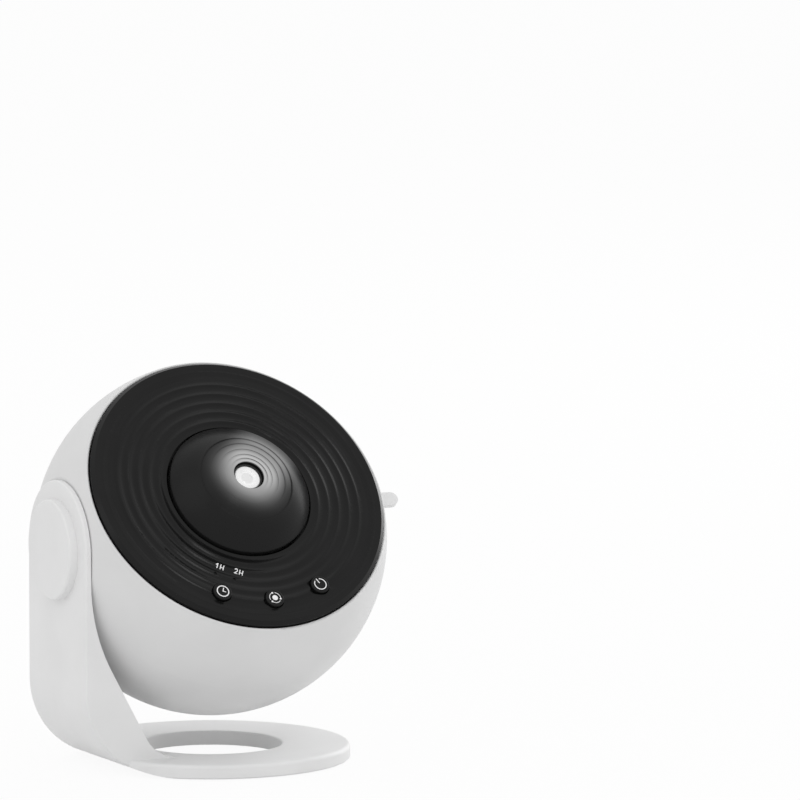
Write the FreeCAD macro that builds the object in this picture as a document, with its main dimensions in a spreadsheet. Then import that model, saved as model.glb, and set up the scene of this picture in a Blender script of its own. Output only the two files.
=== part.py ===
import FreeCAD, Part
import math
import os
import re

import Sketcher
from FreeCAD import Placement, Rotation, Vector

# A ball projector for star films: a white ball with a black rippled front, held by one arm on a
# ring base. Millimetres and degrees. Two frames are used:
#   stand frame  origin on the floor below the middle of the ball, +X to the right, +Z up
#   ball frame   origin at the middle of the ball, +Z along the lens axis, +X along the pivot

SIZES = [
    # ball
    ("ball_radius", 70.0),
    ("shell_wall", 2.5),
    ("lens_tilt", 39.8),
    ("ball_lift", 17.9),
    ("seam_lip", 2.0),
    ("rim_width", 1.26),
    ("rim_height", 31.2),
    ("ledge_top", 28.9),
    ("ledge_thickness", 2.0),
    ("ledge_width", 5.4),
    ("flat_inset", 6.0),
    ("boss_inset", 12.5),
    ("boss_radius", 4.4),
    ("shell_head_depth", 8.0),
    ("vent_count", 10),
    ("vent_width", 2.2),
    ("vent_inner", 7.0),
    ("vent_outer", 17.0),
    # screws, in three sizes
    ("large_shank", 1.2),
    ("large_head", 2.8),
    ("large_head_height", 1.8),
    ("medium_shank", 1.0),
    ("medium_head", 2.1),
    ("medium_head_height", 1.3),
    ("small_shank", 0.8),
    ("small_head", 1.5),
    ("small_head_height", 1.0),
    ("screw_bite", 3.0),
    ("screw_clearance", 0.2),
    # stand
    ("pivot_gap", 0.35),
    ("arm_thickness", 2.3),
    ("arm_width", 54.4),
    ("arm_round", 0.8),
    ("heel_radius", 33.0),
    ("web_bend", 75.0),
    ("web_bend_drop", 10.4),
    ("web_slope", 28.2),
    ("toe_radius", 16.0),
    ("ring_radius", 55.4),
    ("hole_margin", 5.45),
    ("ring_thickness", 5.7),
    ("ring_round", 1.6),
    ("ring_wall", 2.2),
    ("relief_gap", 0.7),
    ("pad_proud", 0.5),
    ("pad_thickness", 1.1),
    ("pad_inset", 4.4),
    ("pad_width", 5.5),
    ("cover_thickness", 2.0),
    # pivot
    ("spigot_radius", 9.0),
    ("bearing_gap", 0.08),
    ("cap_radius", 19.8),
    ("cap_height", 3.6),
    ("cap_wall", 1.2),
    ("cap_round", 0.9),
    ("stop_circle", 14.5),
    ("stop_radius", 1.4),
    ("cap_peg_radius", 1.2),
    ("cap_peg_depth", 1.7),
    ("tilt_back", 140.2),
    ("tilt_down", 39.8),
    ("pivot_screw_radius", 1.6),
    ("pivot_screw_head", 3.6),
    ("hub_radius", 22.0),
    ("hub_thickness", 2.5),
    ("hub_screw_circle", 17.0),
    ("washer_radius", 12.6),
    ("washer_thickness", 1.0),
    ("spring_thickness", 0.5),
    ("friction_recess", 0.6),
    ("friction_outer", 12.3),
    # front panel
    ("panel_front", 34.4),
    ("panel_gap", 0.3),
    ("panel_thickness", 2.5),
    ("panel_skirt", 3.6),
    ("panel_chamfer", 1.4),
    ("ripple_count", 6),
    ("ripple_first", 34.0),
    ("ripple_margin", 3.725),
    ("ripple_depth", 0.5),
    ("post_radius", 3.0),
    # focusing dome and lens
    ("dome_hole", 30.0),
    ("dome_radius", 29.0),
    ("dome_curve", 38.4),
    ("dome_collar", 1.2),
    ("dome_wall", 2.0),
    ("dome_flange", 31.4),
    ("step_count", 5),
    ("step_outer", 19.0),
    ("step_inner", 7.8),
    ("step_spread", 1.25),
    ("step_drop", 0.3),
    ("lens_hole", 6.33),
    ("lens_depth", 1.5),
    ("nose_radius", 6.0),
    ("nose_wall", 0.7),
    ("bezel_bore", 3.15),
    ("barrel_radius", 12.0),
    ("barrel_foot", 25.8),
    ("rear_lens_rim", 2.2),
    ("guide_wall", 1.5),
    ("cam_wall", 1.6),
    ("cam_lead", 9.6),
    ("focus_turn", 90.0),
    ("cam_height", 31.0),
    ("pin_radius", 1.0),
    ("pin_count", 3),
    ("pin_seat", 0.6),
    # buttons
    ("button_inset", 11.1),
    ("button_radius", 3.85),
    ("button_proud", 1.2),
    ("button_travel", 0.6),
    ("button_flange", 4.9),
    ("button_spread", 25.0),
    ("switch_side", 6.0),
    ("switch_height", 3.5),
    ("plunger_radius", 1.75),
    ("plunger_depth", 1.5),
    ("light_pipe_radius", 0.55),
    # film cartridge and its drive
    ("film_height", 18.2),
    ("tray_thickness", 3.2),
    ("tray_gap", 0.3),
    ("gear_module", 0.8),
    ("gear_teeth", 56),
    ("pinion_teeth", 14),
    ("tooth_backlash", 0.16),
    ("gear_thickness", 1.2),
    ("film_radius", 18.6),
    ("film_window", 16.5),
    ("tray_wall", 1.65),
    ("tray_floor", 0.8),
    ("tray_nose", 17.0),
    ("tray_arm_end", 45.0),
    ("tab_reach", 5.8),
    ("tab_width", 5.9),
    ("tab_lift", 1.1),
    ("tab_thickness", 2.2),
    ("guide_inset", 20.0),
    ("motor_cup", 7.0),
    ("motor_cup_wall", 1.2),
    ("guide_plate", 2.0),
    ("guide_half", 34.5),
    ("rail_width", 3.0),
    # lamp
    ("tube_bore", 15.2),
    ("tube_wall", 2.0),
    ("tube_flange", 20.5),
    ("tube_flange_height", 2.0),
    ("tube_foot", -9.0),
    ("lens_rib_foot", 0.0),
    ("lens_rib_height", 8.4),
    ("lens_rib_width", 1.6),
    ("lens_rim", 1.3),
    ("lens_bulge", 3.7),
    ("snap_ring", 0.9),
    ("lamp_radius", 21.0),
    ("lamp_board", 1.6),
    ("emitter_side", 7.0),
    ("emitter_height", 1.0),
    ("emitter_dome", 2.6),
    ("sink_base", 3.0),
    ("sink_radius", 20.0),
    ("sink_length", 24.0),
    ("fin_thickness", 1.2),
    ("fin_pitch", 4.0),
    # electronics
    ("board_thickness", 1.6),
    ("board_offset", 24.0),
    ("board_front", 14.0),
    ("board_inset", 13.5),
    ("board_tongue", 7.0),
    ("tongue_inset", 8.5),
    ("board_post_inset", 5.0),
    ("board_post_radius", 3.0),
    ("button_board_thickness", 1.2),
    ("usb_width", 8.94),
    ("usb_height", 3.16),
    ("usb_length", 7.3),
    ("usb_inset", 6.4),
    ("motor_length", 24.3),
    ("gearbox_length", 9.0),
    ("shaft_seat", 3.0),
    ("motor_width", 12.0),
    ("motor_depth", 10.0),
    ("shaft_radius", 1.5),
    # shared gaps
    ("seat_gap", 0.2),
    ("free_gap", 0.3),
]

# Sizes that follow from the ones above, written once and used by name.
DERIVED = {
    "pivot_height": "ball_radius + ball_lift",
    "shell_bore": "ball_radius - shell_wall",
    "rim_outer": "sqrt(ball_radius^2 - rim_height^2)",
    "opening_radius": "rim_outer - rim_width",
    "ledge_radius": "opening_radius - ledge_width",
    "boss_circle": "ball_radius - boss_inset",
    "flat_distance": "ball_radius - flat_inset",
    "flat_radius": "sqrt(ball_radius^2 - flat_distance^2) - 0.1",
    "flat_inner": "flat_distance - shell_wall",
    "frame_foot": "pad_proud",
    "ring_top": "pad_proud + ring_thickness",
    "arm_inner": "flat_distance + pivot_gap",
    "arm_face": "arm_inner + arm_thickness",
    "arm_half": "arm_width / 2",
    "ring_hole": "arm_face - heel_radius - hole_margin",
    "pad_outer": "ring_radius - pad_inset",
    "pad_inner": "pad_outer - pad_width",
    "cover_screw_circle": "(channel_inner + pad_inner) / 2",
    "channel_bottom": "pad_proud + cover_thickness",
    "channel_top": "ring_top - ring_wall",
    "channel_inner": "ring_hole + ring_wall",
    "channel_outer": "ring_radius - ring_wall",
    "channel_side": "arm_face - heel_radius - 1",
    "panel_radius": "opening_radius - panel_gap",
    "panel_back": "panel_front - panel_thickness",
    "panel_foot": "ledge_top",
    "ripple_pitch": "(panel_radius - ripple_margin - ripple_first) / (ripple_count - 0.5)",
    "groove_curve": "ripple_pitch^2 / (16 * ripple_depth) + ripple_depth / 4",
    "dome_edge": "panel_front + dome_collar",
    "dome_centre": "dome_edge - sqrt(dome_curve^2 - dome_radius^2)",
    "dome_bore": "dome_curve - dome_wall",
    "dome_rim": "dome_centre + sqrt(dome_curve^2 - lens_hole^2) - step_count * step_drop",
    "flange_top": "panel_back - free_gap",
    "flange_foot": "flange_top - 1.4",
    "retainer_foot": "flange_foot - free_gap - 1.5",
    "lens_front": "dome_rim - lens_depth",
    "rear_lens_foot": "barrel_foot + 1.8",
    "guide_bore": "barrel_radius + 0.15",
    "guide_outer": "guide_bore + guide_wall",
    "cam_bore": "guide_outer + free_gap",
    "cam_outer": "cam_bore + cam_wall",
    "cam_span": "focus_turn + 10",
    "cam_rise": "cam_lead * cam_span / 360",
    "focus_travel": "cam_lead * focus_turn / 720",
    "tab_tip": "ball_radius + tab_reach",
    "guide_length": "ball_radius - guide_inset",
    "guide_bevel": "0.2 * ball_radius",
    "rail_screw_place": "guide_length + guide_half - guide_bevel - rail_centre - 3.5",
    "tray_foot": "film_height - tray_thickness / 2",
    "tray_top": "film_height + tray_thickness / 2",
    "channel_floor": "tray_foot - tray_gap",
    "channel_roof": "tray_top + tray_gap",
    "plate_top": "channel_roof + guide_plate",
    "plate_foot": "channel_floor - guide_plate",
    "gear_pitch": "gear_module * gear_teeth / 2",
    "gear_tip": "gear_pitch + gear_module",
    "pinion_pitch": "gear_module * pinion_teeth / 2",
    "pinion_place": "gear_pitch + pinion_pitch",
    "tray_pocket": "gear_tip + 0.35",
    "tray_half": "tray_pocket + tray_wall",
    "slot_half": "tray_half + tray_gap",
    "tube_outer": "tube_bore + tube_wall",
    "sink_top": "tube_foot - lamp_board",
    "button_circle": "panel_radius - button_inset",
    "switch_foot": "panel_back - 6.7",
    "switch_top": "switch_foot + switch_height",
    "button_foot": "panel_back - 1.7",
    "button_top": "panel_front + button_proud",
    "retainer_circle": "dome_flange + 3.1",
    "pipe_circle": "(button_circle + retainer_circle) / 2 - 0.35",
    "gear_foot": "tray_foot + tray_floor + free_gap",
    "gear_top": "gear_foot + gear_thickness",
    "tube_screw_circle": "tube_outer + 1.7",
    "skirt_circle": "panel_radius - 2.1",
    "rail_centre": "slot_half + rail_width / 2",
    "post_circle": "(slot_half + rail_width + medium_head + 0.4) * sqrt(2)",
    "board_screw_place": "(board_front + board_rear) / 2 + 2",
    "spigot_end": "arm_face + spring_thickness + 0.1",
    "board_half": "ball_radius * 12 / 35",
    "board_rear": "ball_radius - board_inset",
    "board_tongue_rear": "ball_radius - tongue_inset",
    "usb_face": "ball_radius - usb_inset",
    "motor_half": "motor_width / 2",
    "motor_side": "motor_depth / 2",
}

# Directions, in degrees, of what stands in a ring.
COVER_ANGLES = ("0", "110", "-110")
CAP_PEG_ANGLES = ("50", "130")
CORNER_ANGLES = ("45", "135", "225", "315")
SKIRT_ANGLES = ("0", "90", "180", "270")
RETAINER_ANGLES = ("30", "150", "270")
TUBE_SCREW_ANGLES = ("0", "120", "240")
BOARD_POST_ANGLES = ("-102.5", "-77.5")
BUTTON_ANGLES = ("-90 - button_spread", "-90", "-90 + button_spread")
BUTTON_NAMES = ("timer_button", "rotation_button", "power_button")
LIGHT_PIPES = (("pipe_circle", "-120.3"), ("pipe_circle", "-109.5"))
RAIL_SCREWS = (("-rail_screw_place", 1), ("rail_screw_place - 2", 1),
               ("-rail_screw_place", -1), ("rail_screw_place - 2", -1))

document = FreeCAD.newDocument("FilmBallProjector")
sheet = document.addObject("Spreadsheet::Sheet", "Sizes")
for row, (alias, value) in enumerate(SIZES, start=1):
    sheet.set(f"A{row}", alias)
    sheet.set(f"B{row}", str(value))
    sheet.setAlias(f"B{row}", alias)
document.recompute()

ALIASES = {alias for alias, value in SIZES}
NODES = []


def spelled(text):
    """Spell an expression out on the sheet's own cells."""
    def word(match):
        name = match.group(0)
        if name in ALIASES:
            return "Sizes." + name
        if name in DERIVED:
            return "(" + spelled(DERIVED[name]) + ")"
        return name
    return re.sub(r"[A-Za-z_]\w*", word, str(text))


def number(text):
    """The present value of an expression."""
    result = sheet.evalExpression(spelled(text))
    return float(getattr(result, "Value", result))


def bind(thing, slot, text):
    """Tie a property to the sheet. A plain number needs no tie."""
    if re.search(r"[A-Za-z]", str(text)):
        thing.setExpression(slot, spelled(text))


# ---------------------------------------------------------------- sketches and features

def plane_of(body, role):
    return next(item for item in body.Origin.OriginFeatures if item.Role == role)


def hold_point(drawing, geometry, end, across, up):
    """Place one point of a sketch by its two coordinates."""
    for kind, text in (("DistanceX", across), ("DistanceY", up)):
        rule = Sketcher.Constraint(kind, -1, 1, geometry, end, number(text))
        index = drawing.addConstraint(rule)
        bind(drawing, f"Constraints[{index}]", text)


def draw_circle(drawing, across, up, radius):
    centre = Vector(number(across), number(up), 0)
    index = drawing.addGeometry(Part.Circle(centre, Vector(0, 0, 1), number(radius)), False)
    hold_point(drawing, index, 3, across, up)
    rule = drawing.addConstraint(Sketcher.Constraint("Radius", index, number(radius)))
    bind(drawing, f"Constraints[{rule}]", radius)


def draw_outline(drawing, entries):
    """A closed outline. A pair is a corner, and ("left" or "right", cx, cy) between two
    corners makes the edge between them an arc about (cx, cy) that turns that way."""
    corners = []
    bends = {}
    for entry in entries:
        if len(entry) == 3:
            bends[len(corners) - 1] = entry
        else:
            corners.append(entry)
    points = [Vector(number(a), number(b), 0) for a, b in corners]
    ends = []
    for place, start in enumerate(points):
        finish = points[(place + 1) % len(points)]
        if place not in bends:
            index = drawing.addGeometry(Part.LineSegment(start, finish), False)
            ends.append((index, 1, 2))
            continue
        turn, across, up = bends[place]
        centre = Vector(number(across), number(up), 0)
        from_start = start - centre
        from_finish = finish - centre
        first, last = from_start, from_finish
        if turn == "right":
            first, last = from_finish, from_start
        low = math.atan2(first.y, first.x)
        high = math.atan2(last.y, last.x)
        circle = Part.Circle(centre, Vector(0, 0, 1), from_start.Length)
        index = drawing.addGeometry(Part.ArcOfCircle(circle, low, high), False)
        ends.append((index, 1, 2) if turn == "left" else (index, 2, 1))
    for place, (index, start, finish) in enumerate(ends):
        before = ends[place - 1]
        drawing.addConstraint(Sketcher.Constraint("Coincident", before[0], before[2], index, start))
        hold_point(drawing, index, start, *corners[place])
    for place, (turn, across, up) in bends.items():
        chord = points[(place + 1) % len(points)] - points[place]
        kind, text = ("DistanceY", up) if abs(chord.x) > abs(chord.y) else ("DistanceX", across)
        rule = Sketcher.Constraint(kind, -1, 1, ends[place][0], 3, number(text))
        bind(drawing, f"Constraints[{drawing.addConstraint(rule)}]", text)


def sketch(body, plane, outlines, lift="0"):
    """Closed profiles on one of the body's own planes, every point bound to the sheet."""
    drawing = body.newObject("Sketcher::SketchObject", "Profile")
    drawing.AttachmentSupport = [(plane_of(body, plane), "")]
    drawing.MapMode = "FlatFace"
    drawing.AttachmentOffset = Placement(Vector(0, 0, number(lift)), Rotation())
    bind(drawing, "AttachmentOffset.Base.z", lift)
    for outline in outlines:
        if outline[0] == "circle":
            draw_circle(drawing, *outline[1:])
        else:
            draw_outline(drawing, outline)
    return drawing


def circle(radius, across="0", up="0"):
    return ("circle", across, up, radius)


def box(left, low, right, high):
    return [(left, low), (right, low), (right, high), (left, high)]


def turned(body, entries, kind="Revolution"):
    """Revolve a profile of (radius, height) about the body's own Z axis."""
    drawing = sketch(body, "XZ_Plane", [entries])
    step = body.newObject("PartDesign::" + kind, kind)
    step.Profile = drawing
    step.ReferenceAxis = (drawing, ["V_Axis"])
    step.Angle = 360
    return step


def turned_cut(body, entries):
    return turned(body, entries, "Groove")


def padded(body, plane, outlines, length, lift="0", both=False, reverse=False, kind="Pad"):
    drawing = sketch(body, plane, outlines, lift)
    step = body.newObject("PartDesign::" + kind, kind)
    step.Profile = drawing
    step.Length = number(length)
    bind(step, "Length", length)
    step.SideType = "Symmetric" if both else "One side"
    step.Reversed = reverse
    return step


def cut(body, plane, outlines, length, lift="0", both=False, up=True):
    """A pocket that runs along the plane's own normal, or against it where up is False."""
    return padded(body, plane, outlines, length, lift, both, up, "Pocket")


def pattern(body, steps, count, angle="360"):
    """Repeat the last features about the body's Z axis."""
    repeat = body.newObject("PartDesign::PolarPattern", "Pattern")
    repeat.Originals = steps
    repeat.Axis = (next(i for i in body.Origin.OriginFeatures if i.Role == "Z_Axis"), [""])
    repeat.Angle = number(angle)
    repeat.Occurrences = int(number(count))
    bind(repeat, "Occurrences", count)
    body.Tip = repeat
    return repeat


def rounded(body, radius, chosen, kind="Fillet"):
    """Round, or bevel, the edges of the finished shape that chosen() picks."""
    document.recompute()
    base = body.Tip
    names = [f"Edge{i}" for i, edge in enumerate(base.Shape.Edges, start=1) if chosen(edge)]
    step = body.newObject("PartDesign::" + kind, kind)
    step.Base = (base, names)
    slot = "Radius" if kind == "Fillet" else "Size"
    setattr(step, slot, number(radius))
    bind(step, slot, radius)
    return step


# ---------------------------------------------------------------- nodes and their frames

def turn_about(axis, angle):
    """A rotation about one of the axes, as an expression."""
    return f"rotation(vector{axis}; {angle})"


def seat(thing, frame, across="0", up="0", spin="0"):
    """Put a node on the stand, or on the ball: there it may be moved sideways and spun."""
    if frame == "ball":
        tilt = turn_about("(1; 0; 0)", spelled("90 - lens_tilt"))
        own = turn_about("(0; 0; 1)", spelled(spin))
        middle = f"vector(0; 0; {spelled('pivot_height')})"
        offset = f"vector({spelled(across)}; {spelled(up)}; 0)"
        thing.setExpression("Placement",
                            f"placement({middle}; {tilt}) * placement({offset}; {own})")
    NODES.append(thing)
    return thing


def new_body(label, frame, across="0", up="0", spin="0"):
    body = document.addObject("PartDesign::Body", label)
    body.Label = label
    body.AllowCompound = True
    return seat(body, frame, across, up, spin)


def rod(radius, length, place, direction=(0, 0, 1)):
    """A round bar from a point, along a direction."""
    bar = document.addObject("Part::Cylinder", "Rod")
    bar.Radius = number(radius)
    bar.Height = number(length)
    bind(bar, "Radius", radius)
    bind(bar, "Height", length)
    turn = Rotation(Vector(0, 0, 1), Vector(*direction))
    bar.Placement = Placement(Vector(*[number(text) for text in place]), turn)
    for axis, text in zip("xyz", place):
        bind(bar, f"Placement.Base.{axis}", text)
    return bar


def block(corner, size):
    """A box from its lowest corner."""
    solid = document.addObject("Part::Box", "Block")
    for slot, text in zip(("Length", "Width", "Height"), size):
        setattr(solid, slot, number(text))
        bind(solid, slot, text)
    solid.Placement = Placement(Vector(*[number(text) for text in corner]), Rotation())
    for axis, text in zip("xyz", corner):
        bind(solid, f"Placement.Base.{axis}", text)
    return solid


def joined(pieces):
    whole = document.addObject("Part::MultiFuse", "Joined")
    whole.Shapes = pieces
    return whole


def group(label, frame, pieces):
    """Several separate like solids as one node."""
    whole = document.addObject("Part::Compound", label)
    whole.Label = label
    whole.Links = pieces
    return seat(whole, frame)


def screw(place, direction, kind, length):
    """A screw whose head stands back from place, and whose shank runs along direction."""
    back = [-value for value in direction]
    head = rod(f"{kind}_head", f"{kind}_head_height", place, back)
    shank = rod(f"{kind}_shank", length, place, direction)
    return joined([head, shank])


def screw_holes(body, plane, kind, places, length, lift, up=True):
    """Free holes for screws of one kind."""
    holes = [circle(f"{kind}_shank + screw_clearance", *place) for place in places]
    return cut(body, plane, holes, length, lift, up=up)


def screw_pilots(body, plane, kind, places, length, lift, up=True):
    """Blind holes that screws of one kind bite into."""
    pilots = [circle(f"{kind}_shank", *place) for place in places]
    return cut(body, plane, pilots, length, lift, up=up)


def on_circle(radius, angle):
    """The two coordinates of a point on a circle, as expressions."""
    return f"({radius}) * cos({angle})", f"({radius}) * sin({angle})"


def ring_of(radius, angles):
    return [on_circle(radius, angle) for angle in angles]


# ---------------------------------------------------------------- stand

def stand_frame():
    """Arm, heel and ring base, moulded in one. The heel rises off the floor in one large arc."""
    body = new_body("stand_frame", "stand")
    bend_x = "-(arm_inner - web_bend)"
    bend_z = "pivot_height - web_bend_drop"
    low_x = f"({bend_x}) - web_bend * cos(web_slope)"
    low_z = f"({bend_z}) - web_bend * sin(web_slope)"
    # where the straight slope would meet the top of the ring
    corner_x = f"({low_x}) + (({low_z}) - ring_top) * tan(web_slope)"
    tangent = "toe_radius * tan((90 - web_slope) / 2)"
    start_x = f"({corner_x}) - ({tangent}) * sin(web_slope)"
    start_z = f"ring_top + ({tangent}) * cos(web_slope)"
    end_x = f"({corner_x}) + {tangent}"
    padded(body, "XZ_Plane", [[
        ("-arm_face", "pivot_height + arm_half + 2"),
        ("-arm_face", "frame_foot + heel_radius"),
        ("left", "-arm_face + heel_radius", "frame_foot + heel_radius"),
        ("-arm_face + heel_radius", "frame_foot"),
        (end_x, "frame_foot"),
        (end_x, "ring_top"),
        ("right", end_x, "ring_top + toe_radius"),
        (start_x, start_z),
        (low_x, low_z),
        ("right", bend_x, bend_z),
        ("-arm_inner", bend_z),
        ("-arm_inner", "pivot_height + arm_half + 2"),
    ]], "arm_width", both=True)
    # dished relief that lets the ball turn past the web
    relief = body.newObject("PartDesign::SubtractiveSphere", "Relief")
    relief.Radius = number("ball_radius + relief_gap")
    bind(relief, "Radius", "ball_radius + relief_gap")
    relief.Placement = Placement(Vector(0, 0, number("pivot_height")), Rotation())
    bind(relief, "Placement.Base.z", "pivot_height")
    # flat plate of the arm, which the flattened side of the ball turns against
    padded(body, "XZ_Plane", [
        box("-arm_face", "frame_foot + heel_radius", "-arm_inner", "pivot_height + arm_half + 2"),
    ], "arm_width", both=True)
    # round head of the arm about the pivot
    cut(body, "YZ_Plane", [[
        ("-arm_half - 3", "pivot_height"),
        ("-arm_half", "pivot_height"),
        ("right", "0", "pivot_height"),
        ("arm_half", "pivot_height"),
        ("arm_half + 3", "pivot_height"),
        ("arm_half + 3", "pivot_height + arm_half + 5"),
        ("-arm_half - 3", "pivot_height + arm_half + 5"),
    ]], "2 * arm_face + 10", both=True)
    # soften the edge all round the outer face, down the heel's arc
    face, half = number("arm_face"), number("arm_half")

    def on_outer_face(edge):
        bounds = edge.BoundBox
        flat = bounds.XLength < 0.01 and abs(bounds.XMin + face) < 0.01
        return flat and (bounds.YLength > half or bounds.YLength < 0.01)

    rounded(body, "arm_round", on_outer_face)
    ring_section = [
        ("ring_hole - 1", "frame_foot"),
        ("ring_radius - 0.5", "frame_foot"),
        ("ring_radius", "frame_foot + 0.5"),
        ("ring_radius", "ring_top - ring_round"),
        ("left", "ring_radius - ring_round", "ring_top - ring_round"),
        ("ring_radius - ring_round", "ring_top"),
        ("ring_hole - 1", "ring_top"),
    ]
    turned(body, ring_section)
    # the heel's arc trims the ring as well
    cut(body, "XZ_Plane", [[
        ("-arm_face - 3", "frame_foot + heel_radius"),
        ("-arm_face - 3", "frame_foot - 3"),
        ("-arm_face + heel_radius", "frame_foot - 3"),
        ("-arm_face + heel_radius", "frame_foot"),
        ("right", "-arm_face + heel_radius", "frame_foot + heel_radius"),
        ("-arm_face", "frame_foot + heel_radius"),
    ]], "2 * ring_radius + 10", both=True)
    # hole of the ring, with a softened upper edge
    turned_cut(body, [
        ("0", "frame_foot - 2"),
        ("ring_hole", "frame_foot - 2"),
        ("ring_hole", "ring_top - 0.8"),
        ("right", "ring_hole + 0.8", "ring_top - 0.8"),
        ("ring_hole + 0.8", "ring_top"),
        ("ring_hole + 0.8", "ring_top + toe_radius"),
        ("0", "ring_top + toe_radius"),
    ])
    # channel under the ring, closed by the cover
    cut(body, "XY_Plane", [
        [("-channel_side", "-sqrt(channel_outer^2 - channel_side^2)"),
         ("left", "0", "0"),
         ("-channel_side", "sqrt(channel_outer^2 - channel_side^2)")],
        circle("channel_inner"),
    ], "channel_top - frame_foot", "frame_foot")
    # screw bosses inside the channel
    places = ring_of("cover_screw_circle", COVER_ANGLES)
    padded(body, "XY_Plane", [circle("small_shank + 1.8", *place) for place in places],
           "channel_top - channel_bottom + 0.5", "channel_bottom")
    screw_pilots(body, "XY_Plane", "small", places, "ring_top - channel_bottom - 1",
                 "channel_bottom")
    # bearing for the ball's spigot
    cut(body, "YZ_Plane", [circle("spigot_radius + bearing_gap", "0", "pivot_height")],
        "2 * arm_thickness", "-arm_face - 1")
    # arc slot for the stop, on the lower half of the pivot circle
    inner = "stop_circle - stop_radius - free_gap"
    outer = "stop_circle + stop_radius + free_gap"
    first = "-lens_tilt - tilt_back"
    last = "-lens_tilt + tilt_down"

    def polar(radius, angle):
        return f"({radius}) * cos({angle})", f"pivot_height + ({radius}) * sin({angle})"

    head = polar("stop_circle", last)
    tail = polar("stop_circle", first)
    cut(body, "YZ_Plane", [[
        polar(outer, first), ("left", "0", "pivot_height"),
        polar(outer, last), ("left", *head),
        polar(inner, last), ("right", "0", "pivot_height"),
        polar(inner, first), ("left", *tail),
    ]], "2 * arm_thickness", "-arm_face - 1")
    # two blind sockets for the cap's pegs
    pegs = []
    for angle in CAP_PEG_ANGLES:
        across, up = on_circle("stop_circle", angle)
        pegs.append(circle("cap_peg_radius + seat_gap / 2", across, f"pivot_height + {up}"))
    cut(body, "YZ_Plane", pegs, "cap_peg_depth + seat_gap", "-arm_face")


def base_cover():
    body = new_body("base_cover", "stand")
    gap = "seat_gap"
    padded(body, "XY_Plane", [
        [(f"-channel_side + {gap}",
          f"-sqrt((channel_outer - {gap})^2 - (channel_side - {gap})^2)"),
         ("left", "0", "0"),
         (f"-channel_side + {gap}",
          f"sqrt((channel_outer - {gap})^2 - (channel_side - {gap})^2)")],
        circle(f"channel_inner + {gap}"),
    ], "cover_thickness", "frame_foot")
    places = ring_of("cover_screw_circle", COVER_ANGLES)
    screw_holes(body, "XY_Plane", "small", places, "cover_thickness", "frame_foot")
    wells = [circle("small_head + screw_clearance", *place) for place in places]
    cut(body, "XY_Plane", wells, "small_head_height + 0.1", "frame_foot")
    cut(body, "XY_Plane", [pad_outline("seat_gap / 2")], "pad_thickness - pad_proud",
        "frame_foot")


def pad_outline(gap):
    """Open ring under the base, ended at the heel; gap widens it all round."""
    inner, outer = f"(pad_inner - {gap})", f"(pad_outer + {gap})"
    end = f"(channel_side - 3 + {gap})"
    return [(f"-{end}", f"-sqrt({outer}^2 - {end}^2)"), ("left", "0", "0"),
            (f"-{end}", f"sqrt({outer}^2 - {end}^2)"),
            (f"-{end}", f"sqrt({inner}^2 - {end}^2)"), ("right", "0", "0"),
            (f"-{end}", f"-sqrt({inner}^2 - {end}^2)")]


def foot_pad():
    """Rubber strip that the stand rests on, sunk into the cover."""
    body = new_body("foot_pad", "stand")
    padded(body, "XY_Plane", [pad_outline("0")], "pad_thickness")


def base_screws():
    screws = []
    for place in ring_of("cover_screw_circle", COVER_ANGLES):
        foot = (*place, "frame_foot + small_head_height + 0.1")
        screws.append(screw(foot, (0, 0, 1), "small",
                            "cover_thickness - small_head_height - 0.1 + screw_bite - 0.8"))
    group("base_screws", "stand", screws)


# ---------------------------------------------------------------- pivot

def about_pivot(label, frame):
    """A body whose own Z axis runs outwards along the pivot. Its X axis points up on the
    stand, and along the lens axis on the ball."""
    body = document.addObject("PartDesign::Body", label)
    body.Label = label
    body.AllowCompound = True
    middle = f"vector(0; 0; {spelled('pivot_height')})"
    tilt = spelled("90 - lens_tilt") if frame == "ball" else "0"
    turns = turn_about("(1; 0; 0)", tilt) + " * " + turn_about("(0; 1; 0)", "-90")
    body.setExpression("Placement", f"placement({middle}; {turns})")
    NODES.append(body)
    return body


def pivot_cap():
    """Shallow round cap that hides the pivot on the outside of the arm."""
    body = about_pivot("pivot_cap", "stand")
    top = "arm_face + cap_height"
    turned(body, [
        ("0", "arm_face + cap_height - cap_wall"),
        ("cap_radius - cap_wall", "arm_face + cap_height - cap_wall"),
        ("cap_radius - cap_wall", "arm_face"),
        ("cap_radius", "arm_face"),
        ("cap_radius", f"{top} - cap_round"),
        ("left", "cap_radius - cap_round", f"{top} - cap_round"),
        ("cap_radius - cap_round", top),
        ("0", top),
    ])
    pegs = []
    for angle in CAP_PEG_ANGLES:
        # the body's X axis points up and its Y axis to the rear
        up, across = f"stop_circle * sin({angle})", f"stop_circle * cos({angle})"
        pegs.append(circle("cap_peg_radius", up, across))
    padded(body, "XY_Plane", pegs, "cap_height - cap_wall + cap_peg_depth",
           "arm_face - cap_peg_depth")


def friction_ring():
    body = about_pivot("friction_ring", "stand")
    turned(body, box("spigot_radius + 0.5", "flat_distance - friction_recess + free_gap",
                     "friction_outer", "arm_inner"))


def wave_spring():
    body = about_pivot("wave_spring", "stand")
    turned(body, box("spigot_radius + 0.5", "arm_face", "washer_radius - 0.4",
                     "arm_face + spring_thickness"))


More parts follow.
